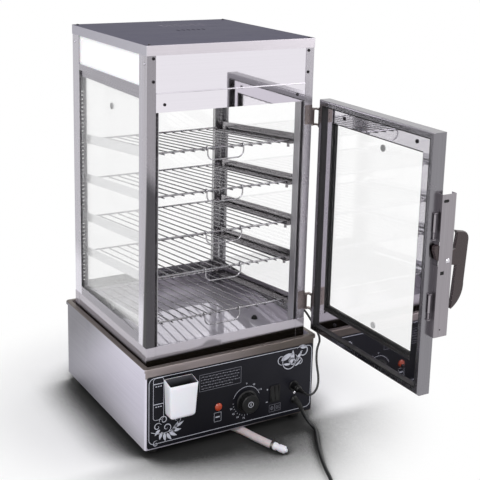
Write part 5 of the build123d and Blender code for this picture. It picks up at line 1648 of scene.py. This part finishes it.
    def faint(self, store: Store) -> list[str]:
        """Makes the dimmer print: rows of ticks and the two symbols under the switches.

        Args:
            store: The finishes.

        Returns:
            Name of the piece.
        """
        kit = MeshKit()
        self.rows(kit)
        for box in self.symbol_boxes:
            self.stroke(kit, box.outline(), self.fine, closed=True)
        across, up = self.ring
        radius = 0.0034
        bar = 0.005
        self.stroke(kit, arc(self.ring, radius, 40, 400, 16)[:-1], self.bold, closed=True)
        self.stroke(kit, [(across, up + bar), (across, up - bar)], self.bold)
        for wave in self.waves:
            route = [(wave + 0.0008 * math.sin(t * 1.1), self.wave_low + 0.0012 * t) for t in range(9)]
            self.stroke(kit, route, self.thin)
        piece = kit.build("panel_notes", store.get(PRINT_FAINT))
        return show(piece, Body.CABINET, "white_plastic")

    def build(self, store: Store) -> list[str]:
        """Makes the brighter print as one piece.

        Args:
            store: The finishes.

        Returns:
            Name of the piece.
        """
        kit = MeshKit()
        self.stroke(kit, self.border.outline(), self.heavy, closed=True)
        self.stroke(kit, self.level_box.outline(), self.thin, closed=True)
        left, right = self.level_box.left, self.level_box.right
        margin = 0.0005
        length = 0.0035
        pitch = 0.0055
        below = 0.006
        for level in self.level_marks:
            self.dash(kit, Dash(left + margin, right - margin, level, 0.0007))
            for place in range(3):
                start = left + 0.005 + pitch * place
                self.dash(kit, Dash(start, start + length, level - below, 0.0009))
        self.stroke(kit, self.small_box.outline(), self.fine, closed=True)
        for dash in self.dashes:
            self.dash(kit, dash)
        self.dial(kit)
        self.flourish_right(kit)
        self.flourish_left(kit)
        return show(kit.build("panel_print", store.get(PRINT_WHITE)), Body.CABINET, "white_plastic")


@dataclass
class KnobMark:
    """Round mark on the face of the knob.

    Attributes:
        stand: How far the knob's face stands off the panel.
        radius: Radius of the ring.
        half: Half width of the ring's line.
        bar: Half length of the bar.
        bar_half: Half width of the bar.
        thick: Thickness of the ink.
    """

    stand: float = 0.0205
    radius: float = 0.0062
    half: float = 0.0006
    bar: float = 0.0035
    bar_half: float = 0.0008
    thick: float = 0.0001

    def place(self, across: float, up: float, depth: float) -> Point:
        """Point in space on the knob's face.

        Args:
            across: X from the knob's middle.
            up: Z from the knob's middle.
            depth: How far it stands off the face.

        Returns:
            The point.
        """
        middle, level = PanelPrint.dial_centre
        return (middle + across, PanelPrint.front - self.stand - depth, level + up)

    def build(self, store: Store) -> list[str]:
        """Makes the mark, a ring with an upright bar in it.

        Args:
            store: The finishes.

        Returns:
            Name of the piece.
        """
        kit = MeshKit()
        ring = arc((0.0, 0.0), self.radius, 0, 360, 28)[:-1]
        kit.ribbon(ring, [self.half] * len(ring), -self.thick, self.thick, self.place, closed=True)
        bar = [(0.0, self.bar), (0.0, -self.bar)]
        kit.ribbon(bar, [self.bar_half] * 2, -self.thick, self.thick, self.place)
        return show(kit.build("knob_mark", store.get(PRINT_WHITE)), Body.KNOB, "white_plastic")


@dataclass
class LatchHoleShade:
    """Painted shade: dark patches behind the holes of the latch channel, for the shade inside it.

    Attributes:
        back: Y of its back.
        thick: Its thickness.
        patches: X and Z of each patch's middle, and half its width and height.
    """

    back: float = -0.60175
    thick: float = 0.00025
    patches: tuple[tuple[float, float, float, float], ...] = (
        (0.233, 0.610, 0.0085, 0.005),
        (0.234, 0.467, 0.006, 0.005),
        (0.238, 0.351, 0.0025, 0.0025),
    )

    def place(self, across: float, up: float, depth: float) -> Point:
        """Point in space behind the channel.

        Args:
            across: X.
            up: Z.
            depth: How far it is before the patches' back.

        Returns:
            The point.
        """
        return (across, self.back - depth, up)

    def build(self, store: Store) -> list[str]:
        """Makes one dark patch of painted shade behind each hole.

        Args:
            store: The finishes.

        Returns:
            Name of the piece.
        """
        kit = MeshKit()
        for middle, level, half, tall in self.patches:
            left, right = middle - half, middle + half
            low, high = level - tall, level + tall
            outline = [(left, low), (right, low), (right, high), (left, high)]
            kit.block(outline, 0.0, self.thick, self.place)
        return show(kit.build("latch_lining", store.get(BLACK_PLASTIC)), Body.DOOR, "black_plastic")


@dataclass
class LidVents:
    """Row of small vent slots pressed in the lid, placed by Geometry Nodes; each slot is a thin dark plate
    of painted shade.

    Attributes:
        count: Number of slots.
        pitch: Distance between them.
        length: Length of a slot's straight part.
        half: Half its width.
        top: Z of the lid's top.
        sunk: How far a slot's rim goes into the lid.
        proud: How far it stands off the lid.
        middle: X and Y of the row's middle.
    """

    count: int = 6
    pitch: float = 0.0125
    length: float = 0.012
    half: float = 0.0014
    top: float = 0.8714
    sunk: float = 0.0002
    proud: float = 0.0004
    middle: Flat = (0.012, 0.02)

    def tree(self, paint: bpy.types.Material) -> tuple[bpy.types.NodeTree, str, str]:
        """Makes the node tree that repeats a slot along X.

        Args:
            paint: Material of the slots.

        Returns:
            The tree, and the identifiers of its count and its pitch.
        """
        tree = bpy.data.node_groups.new("vent_row", "GeometryNodeTree")
        tree.interface.new_socket(name="Geometry", in_out="INPUT", socket_type="NodeSocketGeometry")
        count = tree.interface.new_socket(name="Count", in_out="INPUT", socket_type="NodeSocketInt")
        pitch = tree.interface.new_socket(name="Pitch", in_out="INPUT", socket_type="NodeSocketFloat")
        tree.interface.new_socket(name="Geometry", in_out="OUTPUT", socket_type="NodeSocketGeometry")
        graph = Graph(tree)
        entry = graph.add("NodeGroupInput")
        leave = graph.add("NodeGroupOutput")
        step = graph.add("ShaderNodeCombineXYZ", {0: entry.outputs["Pitch"]})
        line_sockets = {"Count": entry.outputs["Count"], "Offset": step.outputs[0]}
        line = graph.add("GeometryNodeMeshLine", line_sockets)
        copy_sockets = {"Points": line.outputs[0], "Instance": entry.outputs["Geometry"]}
        copies = graph.add("GeometryNodeInstanceOnPoints", copy_sockets)
        real = graph.add("GeometryNodeRealizeInstances", {0: copies.outputs[0]})
        painted = graph.add("GeometryNodeSetMaterial", {0: real.outputs[0], "Material": paint})
        tree.links.new(painted.outputs[0], leave.inputs[0])
        return tree, count.identifier, pitch.identifier

    def place(self, across: float, up: float, depth: float) -> Point:
        """Point in space at the first slot.

        Args:
            across: X from the slot's middle.
            up: Y from the slot's middle.
            depth: How far it is above the lid's top.

        Returns:
            The point.
        """
        start = self.middle[0] - self.pitch * (self.count - 1) / 2
        return (start + across, self.middle[1] + up, self.top + depth)

    def slot(self, paint: bpy.types.Material) -> bpy.types.Object:
        """Makes the first slot of the row.

        Args:
            paint: Its material.

        Returns:
            The slot, linked to the scene.
        """
        outline = arc((0.0, self.length / 2), self.half, 0, 180, 6)
        outline += arc((0.0, -self.length / 2), self.half, 180, 360, 6)
        kit = MeshKit()
        kit.block(outline, -self.sunk, self.proud, self.place)
        slot = kit.build("vent_slot", paint)
        bpy.context.scene.collection.objects.link(slot)
        return slot

    def build(self, store: Store) -> list[str]:
        """Makes the row.

        Args:
            store: The finishes.

        Returns:
            Name of the piece.
        """
        paint = store.get(VENT_SHADE)
        slot = self.slot(paint)
        modifier = slot.modifiers.new("row", "NODES")
        modifier.node_group, count, pitch = self.tree(paint)
        modifier[count] = self.count
        modifier[pitch] = self.pitch
        evaluated = slot.evaluated_get(bpy.context.evaluated_depsgraph_get())
        mesh = bpy.data.meshes.new_from_object(evaluated)
        slot.modifiers.clear()
        bpy.data.objects.remove(slot)
        return show(bpy.data.objects.new("lid_vents", mesh), Body.CABINET, "satin_steel")


@dataclass
class Cord:
    """Round cord along given points.

    Attributes:
        name: Name of the piece.
        points: Route in millimetres.
        radius: Radius in metres.
        length: Real length in metres; not used.
        finish: Its finish.
        far_end: What is at its far end; not used.
        stiffness: How it bends; not used.
        replaced: CAD nodes it stands for.
        pieces: Pieces that are on it; not used.
        slot: Name of its material slot, handed on to show.
    """

    name: str
    points: list[Point]
    radius: float
    length: float
    finish: Finish
    far_end: str
    stiffness: str
    replaced: tuple[str, ...]
    pieces: tuple[str, ...]
    slot: str

    def build(self, store: Store) -> list[str]:
        """Makes the cord as one open curve.

        Args:
            store: The finishes.

        Returns:
            Name of the piece.
        """
        curve = bpy.data.curves.new(self.name, "CURVE")
        curve.dimensions = "3D"
        spline = curve.splines.new("NURBS")
        route = metres(self.points)
        spline.points.add(len(route) - 1)
        for point, place in zip(spline.points, route):
            point.co = (*place, 1.0)
        spline.order_u = 3
        spline.use_endpoint_u = True
        spline.resolution_u = 6
        curve.bevel_depth = self.radius
        curve.bevel_resolution = 4
        curve.use_fill_caps = True
        curve.materials.append(store.get(self.finish))
        piece = bpy.data.objects.new(self.name, curve)
        names = show(piece, Body.CABINET, self.slot)
        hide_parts(*self.replaced)
        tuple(route[0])
        list(self.pieces)
        return names


HOSE_ROUTE: list[Point] = [
    (9.0, -163.0, 8.7), (14.0, -182.0, 8.7), (21.4, -201.6, 8.7), (29.4, -220.9, 8.7),
    (35.7, -249.2, 8.7), (43.9, -277.9, 8.7), (50.8, -299.8, 8.7), (56.0, -312.0, 8.7),
]
LAMP_ROUTE: list[Point] = [
    (199.5, -150.0, 246.0), (206.5, -150.0, 246.0), (213.5, -152.0, 244.3), (219.8, -156.5, 240.7),
    (224.3, -163.5, 234.5), (226.6, -173.5, 226.0), (228.0, -185.0, 216.5), (229.0, -196.5, 207.5),
    (228.9, -207.5, 199.5), (226.8, -218.0, 193.0), (221.5, -227.5, 187.5), (212.5, -235.5, 183.0),
    (204.5, -242.5, 176.5), (199.0, -249.5, 166.0), (195.2, -256.0, 153.5), (193.0, -263.5, 140.5),
    (191.0, -271.0, 129.0), (187.0, -278.5, 118.0), (181.0, -283.8, 107.5), (174.0, -286.0, 99.5),
    (166.5, -285.3, 93.8), (160.2, -280.5, 91.4), (157.0, -273.5, 91.4), (157.0, -266.0, 91.4),
]
MAINS_ROUTE: list[Point] = [
    (160.0, -230.0, 57.0), (160.0, -237.5, 57.0), (161.5, -245.0, 52.0), (164.8, -249.0, 42.0),
    (169.5, -251.5, 31.0), (175.0, -256.0, 20.0), (179.8, -265.0, 10.8), (181.8, -278.0, 5.4),
    (176.5, -292.0, 4.2), (163.0, -317.0, 4.2), (143.5, -350.0, 4.2), (121.0, -396.0, 4.2),
    (104.0, -436.0, 4.2), (93.0, -468.0, 4.2), (81.0, -496.0, 4.2), (69.0, -518.0, 4.2),
    (60.0, -537.0, 4.2), (57.0, -554.0, 4.2),
]


@dataclass
class Coil:
    """Coiled part of the mains cord, laid as more points of its curve.

    Attributes:
        centre: Middle of the coil in millimetres.
        outer: Radius of the first turn.
        pitch: Distance between turns.
        turns_in: Turns towards the middle.
        turns_out: Turns back outwards on top.
        low: Height of the lower layer.
        rise: Height of the upper layer over it.
        per_turn: Points in each turn.
        tail: Points that lead to the plug.
    """

    centre: Flat = (115.0, -562.7)
    outer: float = 58.0
    pitch: float = 8.2
    turns_in: float = 3.25
    turns_out: float = 1.0
    low: float = 4.2
    rise: float = 8.7
    per_turn: int = 20
    tail: tuple[Point, ...] = ((133.0, -606.4, 12.9), (142.0, -608.2, 12.9), (150.0, -608.2, 12.9))

    def points(self) -> list[Point]:
        """Works out the coil's points.

        Returns:
            The points in millimetres.
        """
        total = self.turns_in + self.turns_out
        steps = round(total * self.per_turn)
        swell = 1 / (0.75 + 0.25 * math.cos(2 * math.pi / self.per_turn))
        found: list[Point] = []
        for step in range(steps + 1):
            turn = total * step / steps
            out = max(turn - self.turns_in, 0.0)
            radius = (self.outer - self.pitch * (min(turn, self.turns_in) - out)) * swell
            climb = min(max((turn - self.turns_in) / 0.5 + 0.5, 0.0), 1.0)
            height = self.low + self.rise * (3 * climb**2 - 2 * climb**3)
            angle = math.pi + 2 * math.pi * turn
            x = self.centre[0] + radius * math.cos(angle)
            y = self.centre[1] + radius * math.sin(angle)
            found.append((x, y, height))
        return found + list(self.tail)


@dataclass
class CordSleeve:
    """Tapered rubber sleeve that keeps the mains cord from kinking where it leaves the panel.

    Attributes:
        reach: Length of the sleeve in metres.
        root: Radius at the gland.
        tip: Radius at the thin end.
        ridge: Height of its ridges at the root.
        per_span: Points between two of the cord's joints.
    """

    reach: float = 0.028
    root: float = 0.0062
    tip: float = 0.0046
    ridge: float = 0.00035
    per_span: int = 8

    def route(self) -> list[Point]:
        """Follows the cord's own line, a spline of order 3, within the sleeve.

        Returns:
            The points.
        """
        spans = 5
        given = [Vector(point) for point in metres(MAINS_ROUTE[:spans + 2])]
        joints = [given[0]] + [(given[i] + given[i + 1]) / 2 for i in range(1, spans + 1)]
        found: list[Point] = []
        travelled = 0.0
        for index in range(spans):
            for step in range(self.per_span):
                share = step / self.per_span
                first = joints[index].lerp(given[index + 1], share)
                second = given[index + 1].lerp(joints[index + 1], share)
                spot = first.lerp(second, share)
                if found:
                    travelled += (spot - Vector(found[-1])).length
                if travelled > self.reach:
                    return found
                found.append(tuple(spot))
        return found

    def build(self, store: Store) -> list[str]:
        """Makes the sleeve.

        Args:
            store: The finishes.

        Returns:
            Name of the piece.
        """
        route = self.route()
        radii = []
        for index in range(len(route)):
            share = index / (len(route) - 1)
            ridge = self.ridge if index % 4 < 2 else 0.0
            radii.append(self.root + (self.tip - self.root) * share + ridge * (1 - share))
        kit = MeshKit()
        kit.tube(route, radii)
        piece = kit.build("cord_sleeve", store.get(BLACK_RUBBER), smooth=True)
        return show(piece, Body.CABINET, "black_cord")


class Cords:
    """All cords and the hose."""

    def build(self, store: Store) -> list[str]:
        """Makes the mains cord with its sleeve, the lamp cord and the hose.

        Args:
            store: The finishes.

        Returns:
            Names of the pieces.
        """
        cords = [
            Cord(
                name="mains_lead", points=MAINS_ROUTE + Coil().points(), radius=0.004, length=1.57,
                finish=BLACK_CORD, far_end="plug", stiffness="medium",
                replaced=("mains_cord", "mains_coil"), pieces=("mains_plug", "cord_sleeve"),
                slot="black_cord",
            ),
            Cord(
                name="lamp_lead", points=LAMP_ROUTE, radius=0.0025, length=0.2665,
                finish=BLACK_CORD, far_end="plug", stiffness="medium",
                replaced=("lamp_cord",), pieces=("lamp_plug",), slot="black_cord",
            ),
            Cord(
                name="drain_tube", points=HOSE_ROUTE, radius=0.0085, length=0.1564,
                finish=PINK_HOSE, far_end="fitting", stiffness="stiff",
                replaced=("drain_hose",), pieces=("hose_clamp", "hose_plug"), slot="pink_rubber",
            ),
        ]
        return CordSleeve().build(store) + [name for cord in cords for name in cord.build(store)]


@dataclass(frozen=True)
class Lamp:
    """Soft square lamp.

    Attributes:
        name: Its name.
        place: Where it hangs.
        size: Side of its square.
        power: Its power in watts.
    """

    name: str
    place: Point
    size: float
    power: float


@dataclass
class Studio:
    """Floor, white surroundings, lamps and camera.

    Attributes:
        place: Where the camera stands.
        right: The camera's right.
        up: The camera's up.
        ahead: Where the camera looks.
        lens: Focal length.
        sensor: Width of the camera's sensor.
        shift: Shift of the picture.
        lamps: The lamps.
        target: What the lamps are aimed at.
        ambient: Strength of the surroundings as light.
        beside_reach: How far the shadow beside the object reaches.
        beside_open: How open the floor is where that shadow is darkest and where it ends.
        before_reach: How far the shadow before the object reaches.
        before_open: How open the floor is where that shadow is darkest and where it ends.
        before: Distances before the origin between which the second shadow takes over.
        bare: Distances from the origin between which the floor turns white.
        floor_reach: Half the floor's width.
        floor_dim: Darker tint of the floor.
        floor_pale: Paler tint of the floor.
        shadow: Colour of the shadows.
    """

    place: Point = (-1.069447, -2.063083, 1.1368)
    right: Point = (0.86745128, -0.49699348, 0.02292944)
    up: Point = (0.09597254, 0.21237613, 0.9724637)
    ahead: Point = (0.48817779, 0.84136428, -0.23192368)
    lens: float = 79.4262
    sensor: float = 36.0
    shift: Flat = (0.0051, -0.1667)
    lamps: tuple[Lamp, ...] = (
        Lamp("key", (-1.5, -1.7, 2.1), 1.5, 36.0),
        Lamp("fill", (1.9, -1.5, 1.5), 1.6, 19.0),
        Lamp("top", (0.2, 0.4, 2.6), 1.6, 24.0),
    )
    target: Point = (0.0, 0.0, 0.4)
    ambient: float = 0.45
    beside_reach: float = 0.16
    beside_open: Flat = (0.6, 0.9)
    before_reach: float = 0.38
    before_open: Flat = (0.62, 0.95)
    before: Flat = (0.2, 0.26)
    bare: Flat = (0.36, 0.62)
    floor_reach: float = 8.0
    floor_dim: Colour = (0.88, 0.88, 0.885, 1.0)
    floor_pale: Colour = (0.91, 0.91, 0.915, 1.0)
    shadow: Colour = (0.012, 0.012, 0.012, 1.0)

    def camera(self) -> None:
        """Makes the camera."""
        data = bpy.data.cameras.new("camera")
        data.lens = self.lens
        data.sensor_width = self.sensor
        data.sensor_fit = "HORIZONTAL"
        data.shift_x, data.shift_y = self.shift
        data.clip_start = 0.05
        data.clip_end = 60.0
        camera = bpy.data.objects.new("camera", data)
        bpy.context.scene.collection.objects.link(camera)
        axes = Matrix((self.right, self.up, tuple(-part for part in self.ahead))).transposed()
        camera.matrix_world = Matrix.Translation(self.place) @ axes.to_4x4()
        bpy.context.scene.camera = camera

    def hang(self, lamp: Lamp) -> None:
        """Adds a lamp.

        Args:
            lamp: The lamp.
        """
        data = bpy.data.lights.new(lamp.name, "AREA")
        data.shape = "SQUARE"
        data.size = lamp.size
        data.energy = lamp.power
        holder = bpy.data.objects.new(lamp.name, data)
        bpy.context.scene.collection.objects.link(holder)
        way = Vector(self.target) - Vector(lamp.place)
        holder.rotation_euler = way.to_track_quat("-Z", "Y").to_euler()
        holder.location = lamp.place

    def world(self) -> None:
        """Makes the surroundings: white to the camera, softer as light."""
        world = bpy.data.worlds.new("studio")
        world.use_nodes = True
        world.node_tree.nodes.clear()
        graph = Graph(world.node_tree)
        strength = graph.math("MULTIPLY_ADD", graph.in_picture(), 1 - self.ambient, self.ambient)
        back = graph.add("ShaderNodeBackground", {"Color": WHITE, "Strength": strength})
        graph.add("ShaderNodeOutputWorld", {"Surface": back.outputs[0]})
        bpy.context.scene.world = world

    @staticmethod
    def open_sky(graph: Graph, reach: float, limits: Flat) -> bpy.types.NodeSocket:
        """Adds one reach of the shadow.

        Args:
            graph: The floor's graph.
            reach: How far the shadow reaches.
            limits: How open the floor is where the shadow is darkest and where it ends.

        Returns:
            The output socket, 0 in the shadow and 1 outside it.
        """
        near = graph.add("ShaderNodeAmbientOcclusion", {"Distance": reach}, samples=16)
        return graph.spread(near.outputs["AO"], *limits, smooth=False)

    def shade(self, graph: Graph, where: bpy.types.NodeSocket) -> bpy.types.NodeSocket:
        """Works out how open the floor is: 0 where the object shades it, 1 away from it.

        Args:
            graph: The floor's graph.
            where: Object coordinates.

        Returns:
            The output socket.
        """
        beside = self.open_sky(graph, self.beside_reach, self.beside_open)
        before = self.open_sky(graph, self.before_reach, self.before_open)
        place = graph.add("ShaderNodeSeparateXYZ", {0: where}).outputs["Y"]
        front = graph.spread(graph.math("MULTIPLY", place, -1.0), *self.before)
        spare = graph.math("SUBTRACT", 1.0, front)
        return graph.math("MULTIPLY_ADD", before, front, graph.math("MULTIPLY", beside, spare))

    def floor(self) -> None:
        """Makes the pale floor, with a painted shadow near the object, which turns white far from it."""
        material, graph = blank_material("floor")
        where = graph.add("ShaderNodeTexCoord").outputs["Object"]
        tint = graph.mix(graph.noise(where, 3.0, 2.0), self.floor_dim, self.floor_pale)
        # Painted shadow: the floor's colour goes dark near the object, from ambient occlusion, deeper in
        # front.
        tint = graph.mix(self.shade(graph, where), self.shadow, tint)
        shader = graph.add("ShaderNodeBsdfPrincipled", {"Base Color": tint, "Roughness": 0.7})
        far = graph.add("ShaderNodeVectorMath", {0: where}, operation="LENGTH").outputs["Value"]
        share = graph.math("MULTIPLY", graph.spread(far, *self.bare), graph.in_picture())
        white = graph.add("ShaderNodeEmission", {"Color": WHITE, "Strength": 1.0})
        both = graph.add("ShaderNodeMixShader", {0: share, 1: shader.outputs[0], 2: white.outputs[0]})
        graph.add("ShaderNodeOutputMaterial", {"Surface": both.outputs[0]})
        mesh = bpy.data.meshes.new("floor")
        reach = self.floor_reach
        corners = [(-reach, -reach, 0.0), (reach, -reach, 0.0), (reach, reach, 0.0), (-reach, reach, 0.0)]
        mesh.from_pydata(corners, [], [(0, 1, 2, 3)])
        mesh.materials.append(material)
        floor = bpy.data.objects.new("floor", mesh)
        bpy.context.scene.collection.objects.link(floor)

    def build(self) -> None:
        """Makes the whole studio."""
        self.camera()
        self.world()
        self.floor()
        for lamp in self.lamps:
            self.hang(lamp)
        bpy.context.scene.view_settings.view_transform = "Standard"


def main() -> None:
    """Builds the looks of the part in order."""
    logging.basicConfig(level=logging.INFO)
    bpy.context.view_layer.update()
    store = Store()
    Studio().build()
    panel_print = PanelPrint()
    steps: list[Callable[[Store], list[str]]] = [
        Cords().build,
        Base().dress,
        FillCup().build,
        Cabinet().dress,
        Racks().dress,
        Door().dress,
        panel_print.build,
        panel_print.faint,
        KnobMark().build,
        LidVents().build,
        LatchHoleShade().build,
    ]
    for step in steps:
        for name in step(store):
            log.info("%s is ready", name)


if __name__ == "__main__":
    main()
